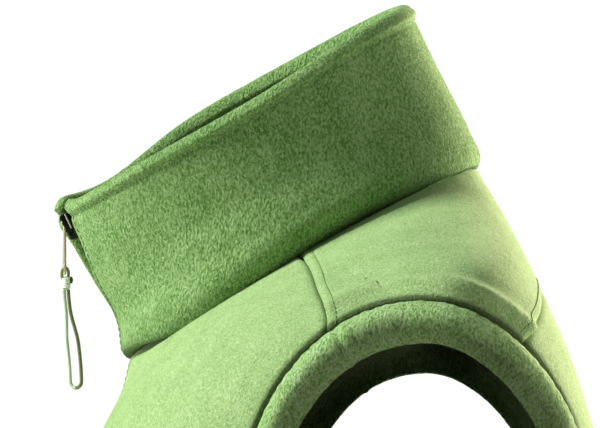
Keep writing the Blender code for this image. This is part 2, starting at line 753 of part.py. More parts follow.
def make_hitch(pivot, finish):
    """The cord's wrapped head, in a ring through the tab's slot."""
    head_top = -TAB_LENGTH - HITCH_GAP
    bm = bmesh.new()
    middle = (0, HITCH_BACK, head_top - HITCH_LENGTH / 2)
    box(bm, (HITCH_WIDTH, HITCH_DEPTH, HITCH_LENGTH), middle)
    head = placed("cord_hitch", as_mesh("cord_hitch", bm), finish)
    soften = head.modifiers.new("edges", "BEVEL")
    soften.width = 0.0010
    soften.segments = 3
    ring = bpy.data.curves.new("hitch_ring", "CURVE")
    ring.dimensions = "3D"
    line = ring.splines.new("POLY")
    angles = np.linspace(0, 2 * math.pi, 21)[:-1]
    line.points.add(len(angles) - 1)
    for point, angle in zip(line.points, angles):
        back = HITCH_RING_BACK + HITCH_RING_REACH_Y * math.cos(angle)
        up = head_top + HITCH_RING_UP + HITCH_RING_REACH_Z * math.sin(angle)
        point.co = (0, back, up, 1)
    line.use_cyclic_u = True
    ring.bevel_depth = HITCH_RING_RADIUS
    ring.bevel_resolution = 2
    rope = solid_curve("hitch_ring", ring, finish)
    for part in (head, rope):
        part.matrix_world = pivot
    joined(head, rope)


def solid_curve(name, curve, finish):
    """A curve's tube as a mesh object, with its caps welded to its sides."""
    shape = bpy.data.objects.new(name + "_curve", curve)
    bpy.context.scene.collection.objects.link(shape)
    evaluated = shape.evaluated_get(bpy.context.evaluated_depsgraph_get())
    mesh = bpy.data.meshes.new_from_object(evaluated)
    bpy.data.objects.remove(shape)
    bm = bmesh.new()
    bm.from_mesh(mesh)
    bmesh.ops.remove_doubles(bm, verts=bm.verts, dist=1e-6)
    bmesh.ops.recalc_face_normals(bm, faces=bm.faces)
    bm.to_mesh(mesh)
    bm.free()
    mesh.materials.clear()
    return placed(name, mesh, finish)


def loop_line():
    """The cord's line: down one side of a hanging loop and up the other, with a set towards the back."""
    start = -TAB_LENGTH - HITCH_GAP - HITCH_LENGTH - SEAM_GAP
    straight = LOOP_LENGTH - LOOP_HALF_WIDTH
    share = np.linspace(0, 1, 17)[:-1]
    side = mix(LOOP_START, LOOP_HALF_WIDTH, eased((share - LOOP_OPENS) / LOOP_OPENS_OVER))
    bend = np.radians(np.linspace(0, 180, 9))
    across = np.concatenate([side, LOOP_HALF_WIDTH * np.cos(bend), -side[::-1]])
    down = np.concatenate(
        [straight * share, straight + LOOP_HALF_WIDTH * np.sin(bend), straight * share[::-1]]
    )
    back = HITCH_BACK + LOOP_DRIFT * eased((down / LOOP_LENGTH) ** 0.8)
    return np.stack(
        [across * math.sin(LOOP_TURN), back + across * math.cos(LOOP_TURN), start - down], axis=1
    )


def make_cord(pivot, finish):
    """The hanging loop of cord below the tab."""
    curve = bpy.data.curves.new("pull_cord", "CURVE")
    curve.dimensions = "3D"
    line = curve.splines.new("POLY")
    points = loop_line()
    line.points.add(len(points) - 1)
    for point, place in zip(line.points, points):
        point.co = (*place, 1)
    curve.bevel_depth = CORD_RADIUS
    curve.bevel_resolution = 2
    curve.use_fill_caps = True
    curve.materials.append(finish)
    made = bpy.data.objects.new("pull_cord", curve)
    bpy.data.collections["fleece_vest"].objects.link(made)
    made.matrix_world = pivot


def make_zip_box(finish):
    """The retainer at the hem, which holds the two halves of the zip together."""
    level = (ZIP_FOOT - SEAM_GAP) / 2
    middle = Vector(skin(0.0, level))
    up = Vector(skin(0.0, level + SMALL) - skin(0.0, level)).normalized()
    out = Vector((1, 0, 0)).cross(up)
    thick = TAPE_DEPTH + TAPE_THICK - CHAIN_DEPTH
    size = (2 * (ZIP_HALF_GAP - 2 * SEAM_GAP), ZIP_FOOT - 2 * SEAM_GAP, thick)
    shell = block("zip_box", size, (0, 0, -CHAIN_DEPTH - thick / 2), finish)
    shell.matrix_world = (
        Matrix.Translation(middle) @ Matrix((Vector((1, 0, 0)), up, out)).transposed().to_4x4()
    )
    soften = shell.modifiers.new("edges", "BEVEL")
    soften.width = 0.0006
    soften.segments = 2


def main():
    for old in list(bpy.data.objects):
        bpy.data.objects.remove(old)
    for name in ("fleece_vest", "helpers"):
        group = bpy.data.collections.new(name)
        bpy.context.scene.collection.children.link(group)
    bpy.data.collections["helpers"].hide_render = True

    fleece = material("green_fleece", (0.30, 0.52, 0.17), 0.95)
    tape = material("zip_tape", (0.10, 0.20, 0.07), 0.85)
    metal = material("slider_metal", (0.03, 0.04, 0.03), 0.35, 1.0)
    brass = material("pull_metal", (0.45, 0.38, 0.22), 0.35, 1.0)
    braid = material("cord_braid", (0.22, 0.42, 0.16), 0.80)

    turn, level = front_places()
    panel("front_left", turn, level, fleece)
    panel("front_right", 2 * math.pi - turn[:, ::-1], level[:, ::-1], fleece)
    panel("back", *back_places(), fleece)
    panel("yoke", *yoke_places(), fleece)
    make_collar(fleece)
    for side in ("left", "right"):
        make_band(side, fleece)
        make_zip(side, tape)

    make_zip_box(tape)
    make_slider(metal)
    pivot = pivot_frame()
    make_tab(pivot, brass)
    make_hitch(pivot, braid)
    make_cord(pivot, braid)


main()
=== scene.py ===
"""The looks of a fleece vest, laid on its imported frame.

Metres, +Z up. The wearer looks along -Y and their left side is +X. The origin is the middle of the neck
seam. The cloth is drawn again on the form of its solids, on finer grids. A place on it is a turn round the
body (0 at the centre front, 90 degrees at the wearer's left) and a level, the distance up from the hem.
"""

import math
from collections import namedtuple

import bmesh
import bpy
import numpy as np
from mathutils import Matrix, Vector


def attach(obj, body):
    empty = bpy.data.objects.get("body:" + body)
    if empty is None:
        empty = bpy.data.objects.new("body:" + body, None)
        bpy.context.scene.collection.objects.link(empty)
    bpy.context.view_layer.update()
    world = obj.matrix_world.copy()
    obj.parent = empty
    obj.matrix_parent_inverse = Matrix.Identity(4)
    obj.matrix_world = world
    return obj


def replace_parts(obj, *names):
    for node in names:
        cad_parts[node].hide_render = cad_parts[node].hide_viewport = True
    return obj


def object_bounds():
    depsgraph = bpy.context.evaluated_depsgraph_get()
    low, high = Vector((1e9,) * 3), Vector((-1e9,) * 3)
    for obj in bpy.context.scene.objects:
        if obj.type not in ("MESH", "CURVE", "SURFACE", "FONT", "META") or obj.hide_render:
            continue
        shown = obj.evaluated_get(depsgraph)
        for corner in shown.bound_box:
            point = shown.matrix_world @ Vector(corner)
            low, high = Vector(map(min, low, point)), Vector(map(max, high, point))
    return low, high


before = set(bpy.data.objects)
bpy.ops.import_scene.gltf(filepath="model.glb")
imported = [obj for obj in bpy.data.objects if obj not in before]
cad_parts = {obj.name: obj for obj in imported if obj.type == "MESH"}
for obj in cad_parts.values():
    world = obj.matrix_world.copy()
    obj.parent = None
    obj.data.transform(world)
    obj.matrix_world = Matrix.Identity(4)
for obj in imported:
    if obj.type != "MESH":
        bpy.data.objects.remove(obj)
cad_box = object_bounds()

# The camera, which sees the vest from the wearer's left and a little from below.
IMAGE_WIDTH_PX = 600
FOCAL_LENGTH_PX = 4180
SENSOR_MM = 36
LOOK_AT = Vector((0, 0, 0.0217))
CAMERA_DISTANCE = 1.9
CAMERA_TURN = math.radians(1.8)
CAMERA_RISE = math.radians(4.0)

# Cloth and seams.
FLEECE = 0.0028
SEAM_GAP = 0.0003
NECK_LEVEL = 0.715
ZIP_HALF_GAP = 0.0045
SHOULDER_NECK_TURN = math.radians(90.5)
SHOULDER_ANGLE = -30
YOKE_ANGLE = 36
CHEST_ANGLE = -84
YOKE_CENTRE_LEVEL = 0.592
YOKE_CORNER_TURN = math.radians(114)
SIDE_SEAM_HEM_TURN = math.radians(93)
ARMPIT_LEVEL = 0.350

# Lengths of the panels' edges.
SIDE_SEAM = 0.37
SHOULDER_SEAM = 0.14
FRONT_WIDTH = 0.182
BACK_WIDTH = 0.36
COLLAR_ROUND = 0.48

# A soft ridge on the cloth is given by its height, the place of its middle and its width. A trough has
# a height below 0. These two run round the armhole, at distances outside its seam.
ARMHOLE_RIDGE = (0.0016, 0.011, 0.006)
ARMHOLE_SINK = (-0.0022, 0, 0.005)

# The left armhole's seam, an egg seen from the side, and its turned band.
ARMHOLE_Y = 0.0538
ARMHOLE_Z = -0.120
ARMHOLE_HALF_WIDTH = 0.0743
ARMHOLE_UP = 0.0945
ARMHOLE_DOWN = 0.125
BAND_WIDTH = 0.0170
BAND_TURNED_FRONT = 0.0034
BAND_TURNED_BACK = 0.0076
BAND_WALL = 0.0042
BAND_ROLL = 0.0032
BAND_FALL = 0.0035
BAND_SUNK = 0.0008

# The collar, a doubled wall with a turned top edge.
COLLAR_WALL = 0.0052
COLLAR_TOP = 0.081
SET_BACK = 0.0034
SET_BACK_FROM = 0.030
SET_BACK_OVER = 0.042
SET_BACK_TURN = math.radians(20)
EDGE_TURN = math.radians(6)
BULGE = 0.0018
BULGE_AT = 0.0685
BULGE_TALL = 0.0050
BULGE_TURN = math.radians(12)
BULGE_EDGE_TURN = math.radians(3.5)
COLLAR_SHUT_GAP = 0.0008
COLLAR_SHUT_FROM = 0.0757
COLLAR_SHUT_OVER = 0.0018
RIM_STITCH = 0.0072
EDGE_STITCH = 0.0065

# The zip, its slider and the pull.
TAPE_WIDTH = 0.014
TAPE_IN_SLOT = 0.0036
TAPE_THICK = 0.0008
TAPE_DEPTH = 0.0038
SLOT_TAPE_DEPTH = 0.0034
ZIP_FOOT = 0.0120
ZIP_FROM_SEAM = 0.003
CHAIN_HALF_WIDTH = 0.0030
CHAIN_DEPTH = 0.0026
CHAIN_END = 0.0690
SLIDER_HEIGHT = 0.0690
SLIDER_LENGTH = 0.0125
SLIDER_WIDTH = 0.0074
SLIDER_PLATE = 0.0010
SLIDER_REAR_PLATE = 0.0012
SLIDER_REAR_WIDTH = 0.0048
SLIDER_REAR_LENGTH = 0.0112
SLIDER_REAR_ROOM = 0.0007
PIVOT_OUT = 0.0007
PIVOT_UP = 0.0020
NOSE_WIDTH = 0.0060
NOSE_LENGTH = 0.0045
NOSE_OUT = 0.0012
PIN_RADIUS = 0.0006
LUG_ASIDE = 0.0023
LUG_THICK = 0.0009
EYE_HOLE = 0.0010
EYE_RADIUS = 0.0017
EYE_WIDTH = 0.0023
TAB_LENGTH = 0.0235
TAB_WIDTH = 0.0052
TAB_THICK = 0.0012
TAB_SLOT_UP = 0.0030
TAB_SLOT_WIDTH = 0.0032
TAB_SLOT_HEIGHT = 0.0024
LOOP_LENGTH = 0.0440
LOOP_HALF_WIDTH = 0.0030
LOOP_START = 0.00115
LOOP_OPENS = 0.2
LOOP_OPENS_OVER = 0.4
LOOP_TURN = math.radians(40)
LOOP_DRIFT = 0.0046
HITCH_GAP = 0.0006
HITCH_LENGTH = 0.0058
HITCH_WIDTH = 0.0042
HITCH_DEPTH = 0.0040
HITCH_BACK = 0.0008
HITCH_RING_BACK = 0.0003
HITCH_RING_UP = 0.0012
HITCH_RING_REACH_Y = 0.0016
HITCH_RING_REACH_Z = 0.0028
HITCH_RING_RADIUS = 0.0007

# Fineness of the grids, in cells. The inside of a panel has one cell for each COARSE of the outside's.
COARSE = 3
UP_SIDE = 123
UP_ARM = 90
OVER_CHEST = 84
FRONT_ACROSS = 120
UP_BACK_ARM = 141
BACK_ACROSS = 192
OVER_ARM = 75
YOKE_UP = 111
COLLAR_STATIONS = 420
BAND_STATIONS = 440

SMALL = 1e-4
WHOLE_TURN = 2 * math.pi

Ring = namedtuple(
    "Ring",
    "name level half_width side_y front_y back_y front_z side_z back_z front_power back_power",
)
BODY_RINGS = [
    Ring("hem", 0.000, 0.212, 0.012, -0.117, 0.126, -0.625, -0.620, -0.618, 2.3, 2.4),
    Ring("hip", 0.100, 0.207, 0.012, -0.118, 0.129, -0.522, -0.520, -0.519, 2.3, 2.4),
    Ring("waist", 0.215, 0.199, 0.013, -0.119, 0.125, -0.405, -0.405, -0.405, 2.3, 2.4),
    Ring("ribs", 0.310, 0.201, 0.020, -0.123, 0.133, -0.310, -0.310, -0.308, 2.4, 2.5),
    Ring("armpit", 0.385, 0.205, 0.030, -0.124, 0.142, -0.238, -0.236, -0.232, 2.4, 2.7),
    Ring("chest", 0.450, 0.208, 0.038, -0.118, 0.144, -0.180, -0.170, -0.160, 2.3, 3.0),
    Ring("shoulder_blade", 0.510, 0.208, 0.046, -0.109, 0.135, -0.132, -0.110, -0.093, 2.2, 3.2),
    Ring("shoulder_drop", 0.560, 0.205, 0.051, -0.0985, 0.1185, -0.098, -0.062, -0.040, 2.2, 3.0),
    Ring("shoulder_turn", 0.592, 0.194, 0.050, -0.0895, 0.107, -0.079, -0.034, -0.012, 2.1, 2.7),
    Ring("shoulder_slope", 0.645, 0.143, 0.026, -0.081, 0.0945, -0.061, -0.013, 0.016, 2.0, 2.4),
    Ring("neck", NECK_LEVEL, 0.070, 0.00135, -0.0768, 0.0795, -0.0436, -0.0002, 0.0432, 2.0, 2.0),
]

CollarRing = namedtuple(
    "CollarRing", "name level half_width front_y front_z back_y back_z lean dip tip heel twist"
)
COLLAR_RINGS = [
    CollarRing("seam", 0.000, 0.0700, -0.0768, -0.0436, 0.0795, 0.0432, 0, 0, 0, 0, 0),
    CollarRing("roll", 0.006, 0.0762, -0.0795, -0.0375, 0.0808, 0.0485, 0.0008, 0.0008, 0, 0, 0.5),
    CollarRing("low", 0.018, 0.0782, -0.0835, -0.0262, 0.0770, 0.0592, 0.0025, 0.0024, 0, 0, 1.8),
    CollarRing("middle", 0.04, 0.0735, -0.0935, -0.0090, 0.0678, 0.0775, 0.0055, 0.0056, 0.004, 0.001, 4.2),
    CollarRing("high", 0.06, 0.0712, -0.1024, 0.0068, 0.0587, 0.0955, 0.0080, 0.0084, 0.010, 0.003, 6.3),
    CollarRing("stitch", 0.073, 0.0704, -0.1087, 0.02, 0.0527, 0.1085, 0.0095, 0.0102, 0.015, 0.004, 7.4),
    CollarRing("top", COLLAR_TOP, 0.0700, -0.1098, 0.0282, 0.0492, 0.1167, 0.0105, 0.0112, 0.018, 0.005, 8.0),
]

# The folds that the solids have too, then the smaller creases that only the looks have. A turn and a slant
# are in degrees, a negative depth is a trough, and the bow bends a crease along its length.
Fold = namedtuple("Fold", "turn level slant length width depth bow", defaults=(0.0,))
FOLDS = [
    Fold(38, 0.560, 62, 0.070, 0.030, -0.0040),
    Fold(321, 0.555, 118, 0.075, 0.032, -0.0040),
    Fold(66, 0.365, 35, 0.080, 0.018, 0.0050),
    Fold(292, 0.370, 145, 0.075, 0.020, 0.0045),
    Fold(122, 0.360, 140, 0.090, 0.020, 0.0055),
    Fold(240, 0.350, 42, 0.085, 0.019, 0.0050),
    Fold(84, 0.200, 84, 0.130, 0.020, -0.0060),
    Fold(279, 0.190, 97, 0.125, 0.022, -0.0060),
    Fold(47, 0.120, 98, 0.110, 0.026, -0.0050),
    Fold(310, 0.135, 84, 0.120, 0.024, -0.0050),
    Fold(128, 0.205, 12, 0.060, 0.016, -0.0045),
    Fold(226, 0.222, 166, 0.065, 0.015, -0.0040),
    Fold(153, 0.110, 88, 0.130, 0.026, -0.0060),
    Fold(203, 0.130, 93, 0.140, 0.025, -0.0055),
    Fold(181, 0.330, 90, 0.150, 0.035, -0.0045),
]
CREASES = [
    Fold(60, 0.405, 22, 0.045, 0.0075, 0.0016, 3.0),
    Fold(57, 0.385, 30, 0.050, 0.0070, -0.0018, 2.0),
    Fold(72, 0.335, 48, 0.042, 0.0085, 0.0017, -4.0),
    Fold(79, 0.300, 66, 0.055, 0.0080, -0.0016, -2.5),
    Fold(30, 0.330, 8, 0.060, 0.0120, -0.0014, 1.5),
    Fold(26, 0.225, -14, 0.055, 0.0110, 0.0015, 2.0),
    Fold(52, 0.260, -32, 0.050, 0.0090, -0.0018, -3.0),
    Fold(17, 0.085, 74, 0.060, 0.0120, 0.0014, 1.0),
    Fold(68, 0.110, 97, 0.075, 0.0110, 0.0018, -1.2),
    Fold(300, 0.400, 156, 0.048, 0.0078, 0.0016, 3.2),
    Fold(304, 0.378, 149, 0.052, 0.0072, -0.0017, 2.4),
    Fold(286, 0.330, 130, 0.044, 0.0088, 0.0018, -3.5),
    Fold(333, 0.318, 172, 0.058, 0.0125, -0.0013, 1.2),
    Fold(329, 0.205, 190, 0.052, 0.0115, 0.0015, 2.5),
    Fold(305, 0.245, 212, 0.047, 0.0092, -0.0017, -2.0),
    Fold(293, 0.095, 86, 0.070, 0.0105, 0.0018, 1.4),
    Fold(110, 0.395, 154, 0.050, 0.0080, 0.0017, -2.2),
    Fold(117, 0.330, 136, 0.055, 0.0085, -0.0019, 2.6),
    Fold(104, 0.275, 112, 0.060, 0.0095, 0.0016, 2.0),
    Fold(143, 0.245, 20, 0.055, 0.0100, -0.0017, -2.8),
    Fold(158, 0.190, -10, 0.062, 0.0110, 0.0015, 1.8),
    Fold(169, 0.440, 82, 0.060, 0.0130, 0.0013, 0.8),
    Fold(199, 0.415, 101, 0.064, 0.0125, -0.0014, -1.0),
    Fold(206, 0.235, 192, 0.057, 0.0105, 0.0016, 2.2),
    Fold(219, 0.280, 160, 0.050, 0.0098, -0.0017, 2.6),
    Fold(244, 0.320, 44, 0.056, 0.0086, -0.0018, -2.4),
    Fold(252, 0.388, 28, 0.048, 0.0080, 0.0016, 2.9),
    Fold(256, 0.262, 70, 0.058, 0.0095, 0.0017, -1.7),
    Fold(136, 0.070, 92, 0.066, 0.0120, 0.0016, 1.1),
    Fold(232, 0.085, 84, 0.070, 0.0115, -0.0017, -1.3),
]
FOLD_RADIUS = 0.165


# Numbers and forms.


def column_of(rings, name):
    return np.array([getattr(ring, name) for ring in rings])


def through(rings, name, level):
    """A smooth curve through one column of a table, read at these levels."""
    knots, values = column_of(rings, "level"), column_of(rings, name)
    slopes = np.gradient(values, knots)
    left = np.clip(np.searchsorted(knots, level) - 1, 0, len(knots) - 2)
    span = knots[left + 1] - knots[left]
    t = (level - knots[left]) / span
    return (
        values[left] * (2 * t**3 - 3 * t**2 + 1)
        + values[left + 1] * (3 * t**2 - 2 * t**3)
        + slopes[left] * span * (t**3 - 2 * t**2 + t)
        + slopes[left + 1] * span * (t**3 - t**2)
    )


def unit(vectors):
    return vectors / np.linalg.norm(vectors, axis=-1, keepdims=True)


def facing(surface, across, up):
    """The outward normals of a surface given as a function of two numbers."""
    here = surface(across, up)
    return unit(np.cross(surface(across + SMALL, up) - here, surface(across, up + SMALL) - here))


def mix(start, end, share):
    return start + (end - start) * share


def bump(distance, middle, width):
    """A soft ridge of height 1."""
    return np.exp(-(((distance - middle) / width) ** 2))


def ridge(distance, form):
    """A soft ridge or trough of this height, middle and width."""
    height, middle, width = form
    return height * bump(distance, middle, width)


def eased(share):
    """From 0 to 1 with soft ends."""
    share = np.clip(share, 0, 1)
    return share * share * (3 - 2 * share)


def body(turn, level):
    """The smooth form of the body of the vest."""
    turn, level = np.broadcast_arrays(np.asarray(turn, float), np.asarray(level, float))
    ring = {name: through(BODY_RINGS, name, level) for name in Ring._fields[2:]}
    along, out = np.cos(turn), np.abs(np.sin(turn))
    power = np.where(along > 0, ring["front_power"], ring["back_power"])
    radius = (np.abs(along) ** power + out**power) ** (-1 / power)
    ahead = radius * along
    depth = np.where(ahead > 0, ring["side_y"] - ring["front_y"], ring["back_y"] - ring["side_y"])
    tilt = (ring["front_z"] - ring["back_z"]) / 2
    bow = (ring["front_z"] + ring["back_z"]) / 2 - ring["side_z"]
    x = ring["half_width"] * radius * np.sin(turn)
    y = ring["side_y"] - depth * ahead
    z = ring["side_z"] + tilt * ahead + bow * ahead**2
    return np.stack([x, y, z], axis=-1)


def from_armhole(points):
    """How far points of the body lie outside the armhole's seam, seen from the side."""
    y = (points[..., 1] - ARMHOLE_Y) / ARMHOLE_HALF_WIDTH
    reach = np.where(points[..., 2] > ARMHOLE_Z, ARMHOLE_UP, ARMHOLE_DOWN)
    z = (points[..., 2] - ARMHOLE_Z) / reach
    return (np.hypot(y, z) - 1) * ARMHOLE_HALF_WIDTH


def fold_lift(turn, level, fold):
    """How far one fold or crease lifts the cloth."""
    across = (turn - math.radians(fold.turn)) * FOLD_RADIUS
    up = level - fold.level
    slant = math.radians(fold.slant)
    along = across * math.cos(slant) + up * math.sin(slant)
    aside = up * math.cos(slant) - across * math.sin(slant) - fold.bow * along**2
    return fold.depth * np.exp(-((along / fold.length) ** 2) - (aside / fold.width) ** 2)


def skin(turn, level):
    """The outer face of the cloth: the form with its folds, and with the armhole's seam and ridge."""
    turn, level = np.broadcast_arrays(np.asarray(turn, float), np.asarray(level, float))
    smooth = body(turn, level)
    away = from_armhole(smooth)
    lift = sum(fold_lift(turn, level, fold) for fold in FOLDS)
    lift = lift + ridge(away, ARMHOLE_RIDGE) + ridge(away, ARMHOLE_SINK)
    return smooth + facing(body, turn, level) * lift[..., None]


def on_body(y, z):
    """Turn and level of the points on the wearer's left side that have this y and z."""
    turn = np.full(y.shape, math.radians(90))
    level = np.interp(z, column_of(BODY_RINGS, "side_z"), column_of(BODY_RINGS, "level"))
    for _ in range(25):
        here = body(turn, level)
        by_turn = (body(turn + SMALL, level) - here) / SMALL
        by_level = (body(turn, level + SMALL) - here) / SMALL
        miss_y, miss_z = y - here[..., 1], z - here[..., 2]
        area = by_turn[..., 1] * by_level[..., 2] - by_turn[..., 2] * by_level[..., 1]
        turn_step = (miss_y * by_level[..., 2] - miss_z * by_level[..., 1]) / area
        level_step = (miss_z * by_turn[..., 1] - miss_y * by_turn[..., 2]) / area
        turn = turn + np.clip(turn_step, -0.2, 0.2)
        level = level + np.clip(level_step, -0.02, 0.02)
    return turn, level


def armhole(degrees, inset=0.0):
    """Turn and level round the left armhole's seam, or round an oval inset from it, from its top."""
    angle = np.radians(degrees)
    reach = np.where(np.cos(angle) > 0, ARMHOLE_UP, ARMHOLE_DOWN) - inset
    y = ARMHOLE_Y + (ARMHOLE_HALF_WIDTH - inset) * np.sin(angle)
    return on_body(y, ARMHOLE_Z + reach * np.cos(angle))


def zip_turn(level):
    """The turn of the front edge beside the zip."""
    return np.arcsin(ZIP_HALF_GAP / through(BODY_RINGS, "half_width", level))


def side_seam(share):
    """Turn and level up the left side seam, from the hem to the armpit."""
    turn, level = armhole(np.array([180.0]))
    return mix(SIDE_SEAM_HEM_TURN, turn[0], share), level[0] * share


def collar(turn, height, bulge=BULGE):
    """The outer face of the collar, from the neck seam up. Its left front edge lies deeper than its right.

    The bulge lifts the right edge a little round the slider.
    """
    turn, height = np.broadcast_arrays(np.asarray(turn, float), np.asarray(height, float))
    ring = {name: through(COLLAR_RINGS, name, height) for name in CollarRing._fields[2:]}
    turned = turn + np.radians(ring["twist"])
    from_zip = np.where(turn > math.pi, turn - WHOLE_TURN, turn)
    left_side = np.clip(from_zip / EDGE_TURN + 0.5, 0, 1)
    set_back = SET_BACK * eased((height - SET_BACK_FROM) / SET_BACK_OVER) * left_side
    set_back = set_back * bump(from_zip, 0, SET_BACK_TURN)
    right_side = np.clip(-from_zip / BULGE_EDGE_TURN, 0, 1)
    near_slider = bump(height, BULGE_AT, BULGE_TALL) * bump(from_zip, 0, BULGE_TURN)
    set_back = set_back - bulge * right_side * near_slider
    ahead, aside = np.cos(turned), np.sin(turned)
    half_y = (ring["back_y"] - ring["front_y"]) / 2
    half_z = (ring["back_z"] - ring["front_z"]) / 2
    slope = np.hypot(half_y, half_z)
    dip = ring["dip"] * aside
    dip = dip + ring["tip"] * np.clip(ahead, 0, 1) ** 3 * aside**2 * (1 - aside)
    dip = dip - ring["heel"] * np.clip(-ahead, 0, 1) ** 2 * aside**2 * (1 + aside)
    x = ring["lean"] + ring["half_width"] * aside
    y = (ring["front_y"] + ring["back_y"]) / 2 - half_y * ahead + dip * half_z / slope + set_back
    z = (ring["front_z"] + ring["back_z"]) / 2 - half_z * ahead - dip * half_y / slope
    return np.stack([x, y, z], axis=-1)


def flat_collar(turn, height):
    """The collar without the bulge round the slider."""
    return collar(turn, height, 0.0)


def collar_edge(height):
    """The turn of the collar's left front edge: a zip's width from the middle, and shut above the slider."""
    shut = eased((height - COLLAR_SHUT_FROM) / COLLAR_SHUT_OVER)
    gap = mix(ZIP_HALF_GAP, COLLAR_SHUT_GAP, shut)
    return np.arcsin(gap / through(COLLAR_RINGS, "half_width", height))


def slot_facing(height):
    """The way out of the collar's zip slot, between those of its two edges."""
    edge = collar_edge(height)
    return unit(facing(flat_collar, edge, height) + facing(flat_collar, -edge, height))


# The panels' places, as turn and level. The columns of a grid run across a panel and its rows go up.


def stations(cells, length, low=True, high=True):
    """Numbers from 0 to 1, close together at the ends that are edges of the cloth."""
    near = np.array([0.0, 0.0005, 0.0010, 0.0017, 0.0026, 0.0038]) / length
    start = near if low else near[:1]
    end = 1 - near[::-1] if high else 1 - near[:1]
    middle = np.linspace(start[-1], end[0], cells - len(start) - len(end) + 3)
    return np.concatenate([start[:-1], middle, end[1:]])


def front_places():
    """The left front: a row runs from the zip or the neck to the side or the armhole."""
    up_side = stations(UP_SIDE, SIDE_SEAM, high=False)[:-1]
    to_chest = np.linspace(0, 1, UP_ARM + 1)[:-1]
    over_chest = stations(OVER_CHEST, SHOULDER_SEAM, low=False)
    seam_turn, seam_level = side_seam(up_side)
    up_armhole = [mix(-180, CHEST_ANGLE, to_chest), mix(CHEST_ANGLE, SHOULDER_ANGLE, over_chest)]
    hole_turn, hole_level = armhole(np.concatenate(up_armhole))
    level = np.concatenate([mix(0, ARMPIT_LEVEL, up_side), mix(ARMPIT_LEVEL, NECK_LEVEL, to_chest)])
    round_neck = mix(zip_turn(NECK_LEVEL), SHOULDER_NECK_TURN, over_chest)
    inner_turn = np.concatenate([zip_turn(level), round_neck])
    inner_level = np.concatenate([level, np.full(over_chest.shape, NECK_LEVEL)])
    outer_turn = np.concatenate([seam_turn, hole_turn])
    outer_level = np.concatenate([seam_level, hole_level])
    across = stations(FRONT_ACROSS, FRONT_WIDTH)
    turn = mix(inner_turn[:, None], outer_turn[:, None], across)
    return turn, mix(inner_level[:, None], outer_level[:, None], across)


def back_places():
    """The back: a row runs from the left side or armhole to the right one."""
    up_side = stations(UP_SIDE, SIDE_SEAM, high=False)[:-1]
    to_yoke = stations(UP_BACK_ARM, BACK_WIDTH, low=False)
    seam_turn, seam_level = side_seam(up_side)
    hole_turn, hole_level = armhole(mix(180, YOKE_ANGLE, to_yoke))
    outer_turn = np.concatenate([seam_turn, hole_turn])[:, None]
    outer_level = np.concatenate([seam_level, hole_level])[:, None]
    up_middle = [mix(0, ARMPIT_LEVEL, up_side), mix(ARMPIT_LEVEL, YOKE_CENTRE_LEVEL, to_yoke)]
    across = stations(BACK_ACROSS, BACK_WIDTH)
    turn = mix(outer_turn, WHOLE_TURN - outer_turn, across)
    return turn, mix(outer_level, np.concatenate(up_middle)[:, None], np.sin(math.pi * across))


def yoke_places():
    """The yoke: a column runs from its outer edge up to the neck."""
    back_turn, back_level = (places[-1] for places in back_places())
    share = stations(OVER_ARM, SHOULDER_SEAM, high=False)[:-1]
    hole_turn, hole_level = armhole(mix(SHOULDER_ANGLE, YOKE_ANGLE, share))
    outer_turn = np.concatenate([hole_turn, back_turn, WHOLE_TURN - hole_turn[::-1]])
    outer_level = np.concatenate([hole_level, back_level, hole_level[::-1]])
    to_corner = mix(SHOULDER_NECK_TURN, YOKE_CORNER_TURN, share)
    share = (back_turn - back_turn[0]) / (back_turn[-1] - back_turn[0])
    over_back = mix(YOKE_CORNER_TURN, WHOLE_TURN - YOKE_CORNER_TURN, share)
    neck_turn = np.concatenate([to_corner, over_back, WHOLE_TURN - to_corner[::-1]])
    up = stations(YOKE_UP, SHOULDER_SEAM)[:, None]
    return mix(outer_turn, neck_turn, up), mix(outer_level, NECK_LEVEL, up)


# Meshes.

CRISP_ANGLE = math.radians(38)


def grid_quads(index):
    """The cells of a grid of point numbers, as an array of four corners each."""
    corners = [index[:-1, :-1], index[:-1, 1:], index[1:, 1:], index[1:, :-1]]
    return np.stack(corners, axis=-1).reshape(-1, 4)


def round_quads(rows, columns, both=False):
    """The cells of a grid whose last column joins its first, and also its last row where both do."""
    index = np.arange(rows * columns).reshape(rows, columns)
    index = np.concatenate([index, index[:, :1]], axis=1)
    if both:
        index = np.concatenate([index, index[:1]])
    return grid_quads(index).tolist()


def row_ends(rows, columns):
    """The faces that close both ends of such a grid."""
    return [list(range(columns)), list(range((rows - 1) * columns, rows * columns))]


class Parts:
    """Points and faces of many small shapes, gathered to become one mesh."""

    def __init__(self):
        self.points = []
        self.faces = []
        self.finishes = []

    def add(self, points, faces, finish=0):
        start = len(self.points)
        self.points.extend(np.asarray(points).reshape(-1, 3).tolist())
        self.faces.extend([tuple(int(corner) + start for corner in face) for face in faces])
        self.finishes.extend([finish] * len(faces))

    def mesh(self, name):
        """The mesh, with its faces turned outwards."""
        made = bpy.data.meshes.new(name)
        made.from_pydata(self.points, [], self.faces)
        made.polygons.foreach_set("material_index", self.finishes)
        bm = bmesh.new()
        bm.from_mesh(made)
        bmesh.ops.recalc_face_normals(bm, faces=bm.faces)
        bm.to_mesh(made)
        bm.free()
        return made


def linked(name, data):
    made = bpy.data.objects.new(name, data)
    bpy.context.scene.collection.objects.link(made)
    return made


def placed(name, parts, finishes, body="vest", crisp=False):
    """The gathered shapes as one object that rides on a body. A crisp one has sharp corners."""
    mesh = parts.mesh(name)
    for finish in finishes:
        mesh.materials.append(finish)
    mesh.shade_smooth()
    if crisp:
        mesh.set_sharp_from_angle(angle=CRISP_ANGLE)
    made = linked(name, mesh)
    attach(made, body)
    return made


